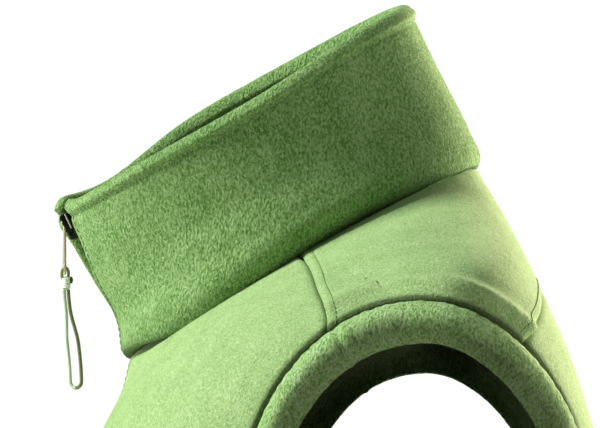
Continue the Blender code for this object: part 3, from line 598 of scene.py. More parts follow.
def coarse_cells(index):
    """Cells COARSE times wider, which keep every point where they meet the grid's border."""
    rows, columns = index.shape
    cells = []
    for row in range(0, rows - 1, COARSE):
        for column in range(0, columns - 1, COARSE):
            far_row, far_column = row + COARSE, column + COARSE
            sides = (
                ((row, column), (0, 1), row == 0),
                ((row, far_column), (1, 0), far_column == columns - 1),
                ((far_row, far_column), (0, -1), far_row == rows - 1),
                ((far_row, column), (-1, 0), column == 0),
            )
            cell = []
            for (r, c), (by_row, by_column), on_border in sides:
                for step in range(0, COARSE, 1 if on_border else COARSE):
                    cell.append(index[r + step * by_row, c + step * by_column])
            cells.append(cell)
    return cells


def border(index):
    """The point numbers round a grid's edge."""
    return np.concatenate([index[0, :-1], index[:-1, -1], index[-1, :0:-1], index[:0:-1, 0]])


def shell(name, outer, inner, finishes):
    """A wall: a fine grid outside, a coarse one inside with the second finish, and a rim between them."""
    count = outer.shape[0] * outer.shape[1]
    top = np.arange(count).reshape(outer.shape[:2])
    kept = np.zeros(top.shape, bool)
    kept[::COARSE, ::COARSE] = True
    kept[[0, -1]] = True
    kept[:, [0, -1]] = True
    under = np.full(top.shape, -1)
    under[kept] = count + np.arange(kept.sum())
    upper, lower = border(top), border(under)
    rim = np.stack([upper, np.roll(upper, -1), np.roll(lower, -1), lower], axis=-1)
    parts = Parts()
    inside = coarse_cells(under)
    parts.points = np.concatenate([outer.reshape(-1, 3), inner[kept]]).tolist()
    parts.faces = np.concatenate([grid_quads(top), rim]).tolist() + inside
    parts.finishes = [0] * (len(parts.faces) - len(inside)) + [1] * len(inside)
    return placed(name, parts, finishes)


def napped(made, solid, painted_shade_mark, size, height):
    """Lifts the cloth's points in soft clumps, as brushed fleece has, and replaces its solid.

    The mesh keeps, in its attribute named inside, a painted shade for each of its first points, from 0 to 1:
    how far that point is painted as lying out of the light.
    """
    # The mark is painted shade, which the fleece's colour reads.
    mark = made.data.attributes.new("inside", "FLOAT", "POINT")
    rest = np.zeros(len(made.data.vertices) - np.size(painted_shade_mark))
    mark.data.foreach_set("value", np.concatenate([np.ravel(painted_shade_mark), rest]))
    texture = bpy.data.textures.new(f"{made.name}_pile", "CLOUDS")
    texture.noise_basis = "IMPROVED_PERLIN"
    texture.noise_scale = size
    texture.noise_depth = 2
    clumps = made.modifiers.new("pile", "DISPLACE")
    clumps.texture = texture
    clumps.texture_coords = "LOCAL"
    clumps.strength = height
    clumps.mid_level = 0.5
    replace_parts(made, solid)


def edge_distances(points):
    """For each point of a grid, how far it is from each of the grid's four edges, by the edge's name."""
    found = []
    for axis in (1, 0):
        run = np.linalg.norm(np.diff(points, axis=axis), axis=-1)
        along = np.cumsum(run, axis=axis)
        first = np.concatenate([np.zeros_like(along.take([0], axis)), along], axis=axis)
        found += [first, first.take([-1], axis) - first]
    return dict(zip(("left", "right", "low", "high"), found))


def tube(points, radius, sides=6, closed=False):
    """Rings of points round a line, with the faces between them and over its ends."""
    points = np.asarray(points, float)
    if closed:
        ahead = unit(np.roll(points, -1, axis=0) - np.roll(points, 1, axis=0))
    else:
        ahead = unit(np.gradient(points, axis=0))
    normal = np.cross(ahead[0], (0.31, 0.52, 0.79))
    normals = []
    for direction in ahead:
        normal = unit(normal - direction * np.dot(normal, direction))
        normals.append(normal)
    normals = np.array(normals)
    beside = np.cross(ahead, normals)
    angle = np.linspace(0, WHOLE_TURN, sides, endpoint=False)
    radius = np.broadcast_to(radius, len(points))[:, None, None]
    ring = normals[:, None] * np.cos(angle)[:, None] + beside[:, None] * np.sin(angle)[:, None]
    faces = round_quads(len(points), sides, closed)
    if not closed:
        faces += row_ends(len(points), sides)
    return points[:, None] + ring * radius, faces


def bevelled(bm, edge, steps):
    """The points and faces of a form, with its edges rounded."""
    bmesh.ops.bevel(bm, geom=bm.edges, offset=edge, segments=steps, profile=0.5, affect="EDGES")
    bm.verts.index_update()
    points = np.array([corner.co[:] for corner in bm.verts])
    faces = [[corner.index for corner in face.verts] for face in bm.faces]
    bm.free()
    return points, faces


def rounded(size, middle, edge, steps=2, slope=0.0):
    """A block with rounded edges, whose top is narrower than its foot by the slope's share."""
    bm = bmesh.new()
    bmesh.ops.create_cube(bm, size=1)
    bmesh.ops.scale(bm, verts=bm.verts, vec=size)
    for corner in bm.verts:
        if corner.co.y > 0:
            corner.co.x *= 1 - slope
    points, faces = bevelled(bm, edge, steps)
    return points + middle, faces


def plate(outline, low, high, edge):
    """A flat plate between two places across, with this outline and softened edges."""
    bm = bmesh.new()
    face = bm.faces.new([bm.verts.new((low, up, out)) for up, out in outline])
    raised = bmesh.ops.extrude_face_region(bm, geom=[face])["geom"]
    for part in raised:
        if isinstance(part, bmesh.types.BMVert):
            part.co.x = high
    return bevelled(bm, edge, 2)


def run_of(points):
    """How far along a line each of its points is."""
    return np.concatenate([[0], np.cumsum(np.linalg.norm(np.diff(points, axis=0), axis=1))])


def read_along(values, run, at):
    """Values given along a line, read at other places along it."""
    return np.stack([np.interp(at, run, values[:, k]) for k in range(3)], axis=1)


# Sewing.

STITCH = 0.0030
STITCH_GAP = 0.0007
THREAD_RADIUS = 0.00022
STITCH_RISE = 0.0003


def stitches(parts, points, out):
    """Adds a row of stitches along a line, each a short thread that dips into the cloth at both ends."""
    run = run_of(points)
    count = max(2, int(run[-1] / STITCH))
    gap = STITCH_GAP / STITCH / 2
    shares = np.array([gap, 0.28, 0.72, 1 - gap])
    rise = np.array([-1.5, 1.0, 1.0, -1.5]) * STITCH_RISE
    for number in range(count):
        at = (number + shares) / count * run[-1]
        thread = read_along(points, run, at) + read_along(out, run, at) * rise[:, None]
        parts.add(*tube(thread, THREAD_RADIUS, sides=5))


def turned_grid(grid, edge):
    """The grid turned so that the named edge is its first column."""
    if edge == "left":
        return grid
    if edge == "right":
        return grid[:, ::-1]
    return (grid if edge == "low" else grid[::-1]).swapaxes(0, 1)


def sew_beside(seams, points, out, edge, offset, kept=slice(None)):
    """Stitches a grid beside one of its edges at an offset, along the kept part of that edge."""
    line, ways = [], []
    for row, way in zip(turned_grid(points, edge), turned_grid(out, edge)):
        run = run_of(row)
        line.append(read_along(row, run, [offset])[0])
        ways.append(read_along(way, run, [offset])[0])
    stitches(seams, np.array(line)[kept], np.array(ways)[kept])


# Materials.


class Finish:
    """A material in the making, with a short way to add its nodes."""

    def __init__(self, name, **sockets):
        self.material = bpy.data.materials.new(name)
        self.material.use_nodes = True
        self.tree = self.material.node_tree
        self.shader = self.tree.nodes["Principled BSDF"]
        for socket, value in sockets.items():
            self.shader.inputs[socket.replace("_", " ")].default_value = value

    def node(self, kind, settings=None, **sockets):
        """A node with these settings, whose sockets take a value or another node's output."""
        made = self.tree.nodes.new(f"ShaderNode{kind}")
        for name, value in (settings or {}).items():
            setattr(made, name, value)
        for name, value in sockets.items():
            socket = made.inputs[int(name[1:])] if name[1:].isdigit() else made.inputs[name]
            if isinstance(value, bpy.types.NodeSocket):
                self.tree.links.new(value, socket)
            else:
                socket.default_value = value
        return made.outputs

    def noise(self, spot, scale, detail, **sockets):
        return self.node("TexNoise", Vector=spot, Scale=scale, Detail=detail, **sockets)[0]

    def math(self, operation, first, second):
        return self.node("Math", {"operation": operation}, _0=first, _1=second)[0]

    def ramp(self, factor, *stops):
        """A colour ramp through (position, colour) stops."""
        made = self.tree.nodes.new("ShaderNodeValToRGB")
        self.tree.links.new(factor, made.inputs[0])
        elements = made.color_ramp.elements
        while len(elements) < len(stops):
            elements.new(0.5)
        for element, (position, colour) in zip(elements, stops):
            element.position = position
            element.color = (*colour, 1)
        return made.outputs[0]

    def blend(self, factor, first, second):
        """A mix of two colours."""
        return self.node("Mix", {"data_type": "RGBA"}, Factor=factor, _6=first, _7=second)[2]

    def place(self, stretch=(1, 1, 1)):
        """The point on the surface, in metres, squeezed along the axes."""
        spot = self.node("TexCoord")["Object"]
        return self.node("Mapping", Vector=spot, Scale=stretch)[0]

    def link(self, output, socket):
        self.tree.links.new(output, self.shader.inputs[socket])

    def bumps(self, height, strength, distance):
        raised = self.node("Bump", Strength=strength, Distance=distance, Height=height)
        self.link(raised[0], "Normal")


PILE_CLUMP = 0.0010
PILE_STRETCH = (1.0, 1.0, 0.62)
MOTTLE = 0.012
# The size of the pale specks painted as glints on the fibre ends.
PAINTED_GLINT_SIZE = 0.0005
OUT_OF_LIGHT = (0.001, 0.0025, 0.001, 1)


def fleece(name, greens, painted_glint_share, rise, spread, patchy):
    """Brushed fleece: small soft lumps, faint patches of tone, and pale specks on the fibre ends as painted
    glints.
    The lumps tint the colour by their height: painted shade darkens their gaps, painted highlight lightens
    their tips.

    It is painted near black, as painted shade, where its mesh marks cloth that lies out of the light, in a
    seam or an opening.
    """
    deep, mid, tip, painted_glint_colour = greens
    finish = Finish(
        name,
        Roughness=0.95,
        Specular_IOR_Level=0.10,
        Sheen_Weight=0.16,
        Sheen_Roughness=0.40,
        Sheen_Tint=(0.75, 1.0, 0.50, 1),
    )
    spot = finish.place(PILE_STRETCH)
    swirl = finish.node("TexNoise", Vector=spot, Scale=0.4 / PILE_CLUMP, Detail=1.0)["Color"]
    swirl = finish.node("VectorMath", {"operation": "SCALE"}, _0=swirl, Scale=1.2 * PILE_CLUMP)[0]
    bent = finish.node("VectorMath", _0=spot, _1=swirl)[0]
    lumps = finish.noise(bent, 1 / PILE_CLUMP, 3.0, Roughness=0.62)
    patches = finish.noise(spot, 1 / MOTTLE, 4.0, Roughness=0.6)
    # The lumps' height tints the colour: darker in the gaps as painted shade, lighter on the tips as painted
    # highlight.
    shade = finish.math("ADD", lumps, finish.math("MULTIPLY", patches, patchy))
    middle = 0.485 + 0.5 * patchy
    cloth = finish.ramp(shade, (middle - spread, deep), (middle, mid), (middle + spread, tip))
    # Painted glints: pale specks on the fibre ends.
    painted_glints = finish.noise(bent, 1 / PAINTED_GLINT_SIZE, 1.0)
    painted_glints = finish.ramp(painted_glints, (0.60, (0, 0, 0)), (0.70, (1, 1, 1)))
    cloth = finish.blend(finish.math("MULTIPLY", painted_glints, painted_glint_share), cloth, (*painted_glint_colour, 1))
    # Painted shade: the mesh's mark blends the colour to near black.
    painted_shade_mark = finish.node("Attribute", {"attribute_name": "inside"})["Fac"]
    finish.link(finish.blend(painted_shade_mark, cloth, OUT_OF_LIGHT), "Base Color")
    finish.bumps(lumps, 1.0, rise)
    return finish.material


def grained(name, low, high, scale, detail, strength, rise, stretch=(1, 1, 1), **sockets):
    """A plain material whose colour wavers finely between two, with a grain to match."""
    finish = Finish(name, **sockets)
    grain = finish.noise(finish.place(stretch), scale, detail)
    finish.link(finish.ramp(grain, (0.3, low), (0.7, high)), "Base Color")
    finish.bumps(grain, strength, rise)
    return finish.material


def painted_shade_fleece():
    """The inside of the body: the same fleece painted near black, as painted shade."""
    low, high = (0.0008, 0.001, 0.0008), (0.0020, 0.003, 0.0015)
    looks = {"Roughness": 1.0, "Specular_IOR_Level": 0.05}
    return grained("fleece_inside_painted_shade", low, high, 0.7 / PILE_CLUMP, 3.0, 0.6, 0.0006, PILE_STRETCH, **looks)


def thread():
    low, high = (0.16, 0.32, 0.09), (0.30, 0.50, 0.18)
    looks = {"Roughness": 0.7, "Specular_IOR_Level": 0.3}
    return grained("sewing_thread", low, high, 1800.0, 2.0, 0.5, 0.0002, **looks)


def moulded_teeth():
    low, high = (0.035, 0.085, 0.030), (0.070, 0.150, 0.055)
    looks = {"Roughness": 0.35, "Specular_IOR_Level": 0.5}
    return grained("zip_teeth", low, high, 300.0, 3.0, 0.2, 0.0001, **looks)


def yarn(name, low, high):
    looks = {"Roughness": 0.75, "Specular_IOR_Level": 0.3, "Sheen_Weight": 0.25}
    return grained(name, low, high, 2600.0, 2.0, 0.5, 0.0001, **looks)


def woven_tape():
    """The zip's tape, a fine weave."""
    finish = Finish("zip_tape", Roughness=0.8, Specular_IOR_Level=0.3, Sheen_Weight=0.2)
    spot = finish.place()
    weft, warp = (
        finish.node("TexWave", {"bands_direction": axis}, Vector=spot, Scale=420.0, Distortion=0.6)[1]
        for axis in "ZX"
    )
    weave = finish.math("MULTIPLY", weft, warp)
    green = finish.ramp(weave, (0.1, (0.020, 0.065, 0.028)), (0.9, (0.065, 0.170, 0.070)))
    finish.link(green, "Base Color")
    finish.bumps(weave, 0.6, 0.0003)
    return finish.material


def metal(name, low, high, roughness):
    """Cast metal with a worn, slightly uneven face."""
    finish = Finish(name, Metallic=1.0)
    spot = finish.place((1, 1, 0.4))
    cast = finish.noise(spot, 900.0, 4.0)
    wear = finish.noise(spot, 220.0, 3.0)
    finish.link(finish.ramp(wear, (0.35, low), (0.68, high)), "Base Color")
    rough = finish.node("MapRange", Value=cast, _3=roughness - 0.1, _4=roughness + 0.15)[0]
    finish.link(rough, "Roughness")
    finish.bumps(cast, 0.25, 0.0001)
    return finish.material


# The cloth.

HEM_STITCH = 0.020
SEAM_STITCH = 0.0046
MEETING = 0.00025
EDGE_DIP = (-0.0005, 0, 0.0010)
EDGE_PUFF = (0.0001, 0.0042, 0.0020)
TOP_DIP = (-0.0017, 0, 0.0016)
ALLOWANCE = (0.0001, SEAM_STITCH / 2, SEAM_STITCH / 2.6)
GROOVE = 0.00035
GROOVE_WIDTH = 0.0008
SHARPER = 0.85
CREST = (0.0028, 0.0060, 0.0030)
# Painted shade, as height, middle and width: in the armhole's seam, and along a panel's top edge under the
# collar.
PAINTED_SHADE_AT_ARM = (0.7, 0, 0.0011)
PAINTED_SHADE_AT_TOP = (0.85, 0, 0.0016)


def met(points):
    """The sheet with its four edges moved out until sewn neighbours just meet."""
    moved_out = points.copy()
    for edge, inner in ((0, 1), (-1, -2)):
        moved_out[edge] -= unit(points[inner] - points[edge]) * MEETING
        moved_out[:, edge] -= unit(points[:, inner] - points[:, edge]) * MEETING
    return moved_out


def dressed(turn, level, sewn, turned_under, crest):
    """The outer and inner faces of a panel, and the way out of it.

    Each edge dips into its seam, and the top edge more than the others. A row of stitches makes a groove,
    and a turned allowance raises the cloth as far as its stitches. The solids' wide ridge over the armhole
    is drawn sharper and nearer its seam, by the crest's share.
    """
    base = skin(turn, level)
    out = facing(skin, turn, level)
    away = from_armhole(base)
    distances = edge_distances(base)
    lift = sum(fold_lift(turn, level, crease) for crease in CREASES)
    lift = lift - SHARPER * (ridge(away, ARMHOLE_RIDGE) + ridge(away, ARMHOLE_SINK))
    lift = lift + crest * ridge(away, CREST) + ridge(distances["high"], TOP_DIP)
    for distance in distances.values():
        lift = lift + ridge(distance, EDGE_DIP) + ridge(distance, EDGE_PUFF)
    for edge, offset, _ in sewn:
        lift = lift - GROOVE * bump(distances[edge], offset, GROOVE_WIDTH)
    for edge in turned_under:
        lift = lift + ridge(distances[edge], ALLOWANCE)
    outer = met(base + out * lift[..., None])
    inner = met(base + out * (np.minimum(lift, 0) - FLEECE)[..., None])
    return outer, inner, out


def make_panel(name, places, sewn, cloths, seams, turned_under=(), crest=0.1, dark=PAINTED_SHADE_AT_TOP):
    """A panel of the body. Its rows of stitches are given by edge, offset and the part of the edge sewn."""
    outer, inner, out = dressed(*places, sewn, turned_under, crest)
    for row in sewn:
        sew_beside(seams, outer, out, *row)
    made = shell(f"{name}_cloth", outer, inner, cloths)
    # Painted shade: darker in the armhole's seam and, by the dark form, along the panel's top edge.
    painted_seam_shade = ridge(np.maximum(from_armhole(outer), 0), PAINTED_SHADE_AT_ARM)
    painted_shade_mark = np.maximum(ridge(edge_distances(outer)["high"], dark), painted_seam_shade)
    napped(made, name, painted_shade_mark, 0.0045, 0.0004)
    return made


def make_front(side, cloths, seams):
    """One front, its zip edge stitched down and its hem turned up."""
    turn, level = front_places()
    if side == "right":
        turn = WHOLE_TURN - turn
    up_zip = slice(0, UP_SIDE + UP_ARM + 1)
    sewn = [("left", EDGE_STITCH, up_zip), ("low", HEM_STITCH, slice(None))]
    made = make_panel(f"front_{side}", (turn, level), sewn, cloths, seams)


def make_back(cloths, seams):
    """The back, whose top edge lies under the yoke's."""
    sewn = [("low", HEM_STITCH, slice(None))]
    made = make_panel("back", back_places(), sewn, cloths, seams, dark=(0, 0, 1))


def make_yoke(cloths, seams):
    """The yoke, with its turned seam allowances stitched down along the shoulders and across the back."""
    kept = {"left": slice(None), "right": slice(None), "low": slice(OVER_ARM, -OVER_ARM)}
    sewn = [(edge, SEAM_STITCH, part) for edge, part in kept.items()]
    made = make_panel("yoke", yoke_places(), sewn, cloths, seams, list(kept), crest=1.0)


# The collar.

COLLAR_UP = 74
COLLAR_OVER = 14
RIM_PUFF = (0.0017, 0.0050, 0.0026)
RIM_GROOVE_WIDTH = 0.0013
RIM_GROOVE = (-0.0013, RIM_STITCH, RIM_GROOVE_WIDTH)
FLARE = (0.0130, 0, 0.0125)
FLARE_FOOT = 0.003
FLARE_LEAST = 0.35
FLARE_AT = math.radians(52)
FLARE_WIDE = math.radians(30)
OVERHANG = (0.0016, 0.002, 0.006)
ROLL = (0.0024, 0.0125, 0.0065)
ROLL_AT = math.radians(112)
ROLL_WIDE = math.radians(28)
FRONT_GROOVE = 0.0006
LEAST_WALL = 0.25
# Painted shade on the collar's foot, under its overhang: its height, middle and width, then the turn from the
# back where it starts and the turn over which it comes in.
PAINTED_SHADE_FOOT = (0.75, 0, 0.0042)
PAINTED_SHADE_FROM = math.radians(45)
PAINTED_SHADE_OVER = math.radians(25)


def collar_profile():
    """Heights, depths and leans up the outside of the collar, over its rim and down the inside."""
    round_off = COLLAR_WALL / 2
    wall = np.linspace(SEAM_GAP, COLLAR_TOP - round_off, COLLAR_UP)
    over = np.linspace(0, math.pi, COLLAR_OVER + 1)[1:-1]
    lean = np.concatenate([np.zeros(COLLAR_UP), over, np.full(COLLAR_UP, math.pi)])
    top = COLLAR_TOP - round_off * (1 - np.sin(over))
    height = np.concatenate([wall, top, wall[::-1]])
    return height, round_off * (1 - np.cos(lean)), lean


def collar_lift(turn, heights, from_end, outside):
    """How far the collar stands off its plain wall: a puffed rim, stitch grooves and an overhanging foot.

    The foot flares over the front of the neck seam, and a soft roll lies over its sides.
    """
    below_rim = COLLAR_TOP - heights
    under_rim = eased((below_rim - RIM_STITCH) / RIM_GROOVE_WIDTH)
    lift = ridge(below_rim, RIM_PUFF) + ridge(below_rim, RIM_GROOVE)
    lift = lift - FRONT_GROOVE * bump(from_end, EDGE_STITCH, GROOVE_WIDTH) * under_rim
    foot = ridge(heights, OVERHANG)
    for from_front in (turn, WHOLE_TURN - turn):
        flare = ridge(heights, FLARE) * np.clip(heights / FLARE_FOOT, FLARE_LEAST, 1)
        foot = foot + flare * bump(from_front, FLARE_AT, FLARE_WIDE)
        foot = foot + ridge(heights, ROLL) * bump(from_front, ROLL_AT, ROLL_WIDE)
    return lift + foot * outside


def make_collar(cloth, seams):
    """The doubled collar, stitched round below its rim and down its front edges."""
    height, depth, lean = collar_profile()
    share = stations(COLLAR_STATIONS, COLLAR_ROUND)[:, None]
    end = collar_edge(height)
    turn = mix(end, WHOLE_TURN - end, share)
    heights = np.broadcast_to(height, turn.shape)
    base = collar(turn, heights)
    out = facing(collar, turn, heights)
    up = unit(collar(turn, heights + SMALL) - base)
    way = out * np.cos(lean)[:, None] + up * np.sin(lean)[:, None]

    half = COLLAR_WALL / 2
    from_end = np.minimum(share, 1 - share) * COLLAR_ROUND
    round_end = np.sqrt(1 - (1 - np.clip(from_end / half, 0, 1)) ** 2)
    deep = half + (depth - half) * mix(LEAST_WALL, 1, round_end)
    outside = 1 - lean / math.pi
    lift = collar_lift(turn, heights, from_end, outside)
    points = base - out * deep[..., None] + way * lift[..., None]
    beside_back = eased((np.abs(turn - math.pi) - PAINTED_SHADE_FROM) / PAINTED_SHADE_OVER)

    rows, count = points.shape[:2]
    faces = round_quads(rows, count)
    for first in (0, (rows - 1) * count):
        for k in range(count // 2 - 1):
            faces.append([first + k, first + k + 1, first + count - k - 2, first + count - k - 1])
    parts = Parts()
    parts.add(points, faces)
    made = placed("collar_cloth", parts, [cloth])
    # Painted shade on the foot of the collar's outside, under its overhang, away from the back.
    napped(made, "collar", ridge(heights, PAINTED_SHADE_FOOT) * beside_back * outside, 0.0028, 0.0005)

    at_rim = int(np.argmin(np.abs(height[:COLLAR_UP] - (COLLAR_TOP - RIM_STITCH))))
    for column in (at_rim, count - 1 - at_rim):
        stitches(seams, points[4:-4, column], way[4:-4, column])
    below = slice(0, at_rim + 1)
    for edge in ("low", "high"):
        sew_beside(seams, points[:, below], way[:, below], edge, EDGE_STITCH)


# The armhole bands. Places across a band are shares of its width, from its seam.

BAND_RISE = 0.0062
BAND_GROOVE = 0.0026
BAND_TUCK = 0.0016
BAND_CREASE = (0.0007, 0.80, 0.06)
BAND_OUT = 26
BAND_OVER = 12
BAND_IN = 12
BAND_EDGE = 0.018
BAND_BEND = 0.88
PUCKER = 0.0003
PUCKER_REACH = 0.35
CROSS_SEAM = (-0.0011, -29.0, 0.9)
CROSS_SEAM_PUFF = (0.0004, -26.0, 1.6)
# Painted shade in the band's seam groove, and its strength over the half of the roll toward the opening.
PAINTED_SHADE_SEAM = (0.75, 0, 0.075)
PAINTED_SHADE_INNER = 0.74


def band_profile():
    """Shares across the band over its front, fold and back, and shares of the wall's depth."""
    bend = np.linspace(0, math.pi, BAND_OVER + 1)
    front = np.linspace(BAND_EDGE, BAND_BEND, BAND_OUT)[:-1]
    fold = BAND_BEND + (1 - BAND_BEND) * np.sin(bend)
    back = np.linspace(BAND_BEND, BAND_EDGE, BAND_IN)[1:]
    depth = [0.08 * eased((front - 0.62) / 0.26), 0.5 - 0.42 * np.cos(bend), np.ones(BAND_IN - 1)]
    depth[2][:2] = 0.96
    return np.concatenate([front, fold, back]), np.concatenate(depth)


def pucker(degrees):
    """Uneven gathers round the band, from -1 to 1."""
    angle = np.radians(degrees)
    waves = ((97, 0.3, 1.0), (61, 1.7, 0.8), (143, 4.1, 0.6), (37, 2.2, 0.5))
    return sum(size * np.sin(count * angle + phase) for count, phase, size in waves) / 2


def band_lift(degrees, across, depth, aside, front):
    """How far the band stands off the body: a soft roll in front, its solid's form behind."""
    solid = BAND_ROLL * np.sin(math.pi * across) ** 0.8 - BAND_FALL * across**3 - BAND_SUNK
    roll = BAND_RISE * np.sin(math.pi * across**1.12) ** 0.72 - BAND_GROOVE - BAND_TUCK * across**3
    roll = roll - ridge(across, BAND_CREASE) * eased(aside / 0.5)
    gathers = PUCKER * pucker(degrees) * bump(across, 0, PUCKER_REACH)
    gathers = gathers + ridge(degrees, CROSS_SEAM) + ridge(degrees, CROSS_SEAM_PUFF)
    return mix(solid, roll, front) + gathers * front - BAND_WALL * depth


def make_band(side, cloth):
    """The turned binding of one armhole, with gathers at its seam and a seam across it."""
    degrees = np.linspace(-180, 180, BAND_STATIONS, endpoint=False)
    across, depth = band_profile()
    front = 1 - eased((depth - 0.5) / 0.4)
    aside = np.sin(np.radians(degrees))
    turned = np.where(aside > 0, BAND_TURNED_BACK, BAND_TURNED_FRONT) * aside**2
    seam, edge = armhole(degrees), armhole(degrees, BAND_WIDTH - turned)
    turn, level = (mix(low[:, None], high[:, None], across) for low, high in zip(seam, edge))
    aside = aside[:, None]
    lift = band_lift(degrees[:, None], across, depth, aside, front)
    points = body(turn, level) + facing(body, turn, level) * lift[..., None]
    if side == "right":
        points = points * (-1, 1, 1)
    parts = Parts()
    parts.add(points, round_quads(*points.shape[:2], both=True))
    made = placed(f"armhole_band_{side}_cloth", parts, [cloth])

    # Painted shade: near black over the band's turned-in back, darker on the half of its roll toward the
    # opening, and dark in its seam groove.
    painted_shade_mark = eased((depth - 0.3) / 0.5) * mix(1.0, 0.35, across**1.5)
    shaded = PAINTED_SHADE_INNER * mix(0.8, 1.0, eased(aside / 0.5)) * eased((across - 0.45) / 0.4)
    painted_shade_mark = np.maximum(painted_shade_mark, shaded * eased(2 - depth / 0.5))
    painted_shade_mark = np.maximum(painted_shade_mark, ridge(across, PAINTED_SHADE_SEAM) * front)
    napped(made, f"armhole_band_{side}", painted_shade_mark, 0.0028, 0.0007)


# The zip.

TOOTH_PITCH = 0.0026
TOOTH_TALL = 0.0013
TOOTH_OVER = 0.0007
TOOTH_THICK = 0.0016
TOOTH_ROOM = 0.0002
TAPE_RIB = 0.0004
TAPE_RIBS = ((0.0003, 0), (0.0009, 1), (0.0028, 1), (0.0033, 0))
CHEST_RADIUS = 0.045


def as_frame(middle, across, up, out):
    """A place with these axes."""
    return Matrix.Translation(Vector(middle)) @ Matrix((across, up, out)).transposed().to_4x4()


def slider_frame():
    """The slider's place on the collar: its middle, with its axes across, up the zip and out."""
    middle = collar(0.0, SLIDER_HEIGHT)
    up = Vector(collar(0.0, SLIDER_HEIGHT + SMALL) - middle).normalized()
    across = up.cross(Vector(slot_facing(SLIDER_HEIGHT))).normalized()
    return as_frame(middle, across, up, across.cross(up))


def pivot_frame():
    """The pull's pivot: X along its level pin, and Z plumb."""
    place = slider_frame()
    across = place.to_3x3().col[0]
    level = Matrix.Rotation(math.atan2(across.y, across.x), 4, "Z")
    return Matrix.Translation(place @ Vector((0, PIVOT_UP, PIVOT_OUT))) @ level


def moved(matrix, points):
    """Points under a transform."""
    matrix = np.array(matrix)
    return np.asarray(points) @ matrix[:3, :3].T + matrix[:3, 3]


def zip_middle():
    """The zip's middle line from the box to the slider: its points, the way up, out and to the left."""
    levels = np.linspace(ZIP_FOOT + SEAM_GAP, NECK_LEVEL - ZIP_FROM_SEAM, 330)
    heights = np.linspace(ZIP_FROM_SEAM, CHAIN_END - SEAM_GAP, 60)
    points = np.concatenate([skin(0.0, levels), collar(0.0, heights)])
    out = np.concatenate([facing(skin, 0.0, levels), slot_facing(heights)])
    up = unit(np.gradient(points, axis=0))
    aside = unit(np.cross(up, out))
    reach = np.concatenate([np.full(levels.shape, TAPE_WIDTH), np.full(heights.shape, TAPE_IN_SLOT)])
    reach[levels.size - 8 : levels.size] = TAPE_IN_SLOT
    depth = np.concatenate([np.full(levels.shape, TAPE_DEPTH), np.full(heights.shape, SLOT_TAPE_DEPTH)])
    return points, up, out, aside, reach, depth


def make_zip(side, tape, teeth):
    """One half of the zip: a ribbed tape behind the front's edge and moulded teeth along it."""
    away = 1 if side == "left" else -1
    points, up, out, aside, reach, depth = zip_middle()
    aside = aside * away
    front = [(across, -TAPE_RIB * rib) for across, rib in TAPE_RIBS] + [(reach, 0)]
    back = [(across, TAPE_THICK) for across, _ in reversed(front)]
    rings = []
    for at, behind in front + back:
        at = np.broadcast_to(at, reach.shape)
        deep = depth + behind + at**2 / (2 * CHEST_RADIUS)
        rings.append(points + aside * at[:, None] - out * deep[:, None])
    grid = np.stack(rings, axis=1)
    parts = Parts()
    parts.add(grid, round_quads(*grid.shape[:2]) + row_ends(*grid.shape[:2]))

    run = run_of(points)
    places = np.arange(TOOTH_PITCH / 2 * (1 + (away > 0)), run[-1] - TOOTH_PITCH / 2, TOOTH_PITCH)
    length = CHAIN_HALF_WIDTH + TOOTH_OVER - TOOTH_ROOM
    middle = (0, TOOTH_OVER - length / 2, 0)
    shape, faces = rounded((TOOTH_TALL, length, TOOTH_THICK), middle, 0.0002, 1, slope=0.25)
    for at in places:
        spot, rise, way, sideways = (read_along(line, run, [at])[0] for line in (points, up, out, aside))
        spot = spot - way * (CHAIN_DEPTH + TOOTH_THICK / 2)
        tooth = spot + shape[:, :1] * rise - shape[:, 1:2] * sideways + shape[:, 2:] * way
        parts.add(tooth, faces, 1)
    made = placed(f"zip_{side}_chain", parts, [tape, teeth])
    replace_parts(made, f"zip_{side}")


def make_zip_box(enamel):
    """The retainer at the hem, a moulded box in two halves with a block between them."""
    level = (ZIP_FOOT - SEAM_GAP) / 2
    middle = Vector(skin(0.0, level))
    up = Vector(skin(0.0, level + SMALL) - skin(0.0, level)).normalized()
    across = Vector((1, 0, 0))
    place = as_frame(middle, across, up, across.cross(up))
    thick = TAPE_DEPTH + TAPE_THICK - CHAIN_DEPTH
    wide = ZIP_HALF_GAP - 2 * SEAM_GAP
    tall = ZIP_FOOT - 2 * SEAM_GAP
    deep = -CHAIN_DEPTH - thick / 2
    parts = Parts()
    for away in (-1, 1):
        size = (wide - 0.0002, tall, thick)
        points, faces = rounded(size, (away * (wide / 2 + 0.0001), 0, deep), 0.0006, 3)
        parts.add(moved(place, points), faces)
    points, faces = rounded((wide, tall * 0.94, thick * 0.7), (0, 0, deep - thick * 0.1), 0.0003)
    parts.add(moved(place, points), faces)
    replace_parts(placed("zip_retainer", parts, [enamel], crisp=True), "zip_box")


# The slider. Its ears hold the pin, and their outline is given as places up and out. The worn edge of an
# ear runs between two places across, up and out.

EAR = (
    (-0.0058, -0.0016), (-0.0056, 0.0004), (-0.0035, 0.0012), (-0.0005, 0.0016), (0.0012, 0.0019),
    (0.0040, 0.0019), (0.0054, 0.0013), (0.0060, 0.0002), (0.0060, -0.0016),
)
WORN = np.array([(0.0034, 0.0062, -0.0007), (0.0036, -0.0010, -0.0009)])
WORN_RADIUS = 0.00042


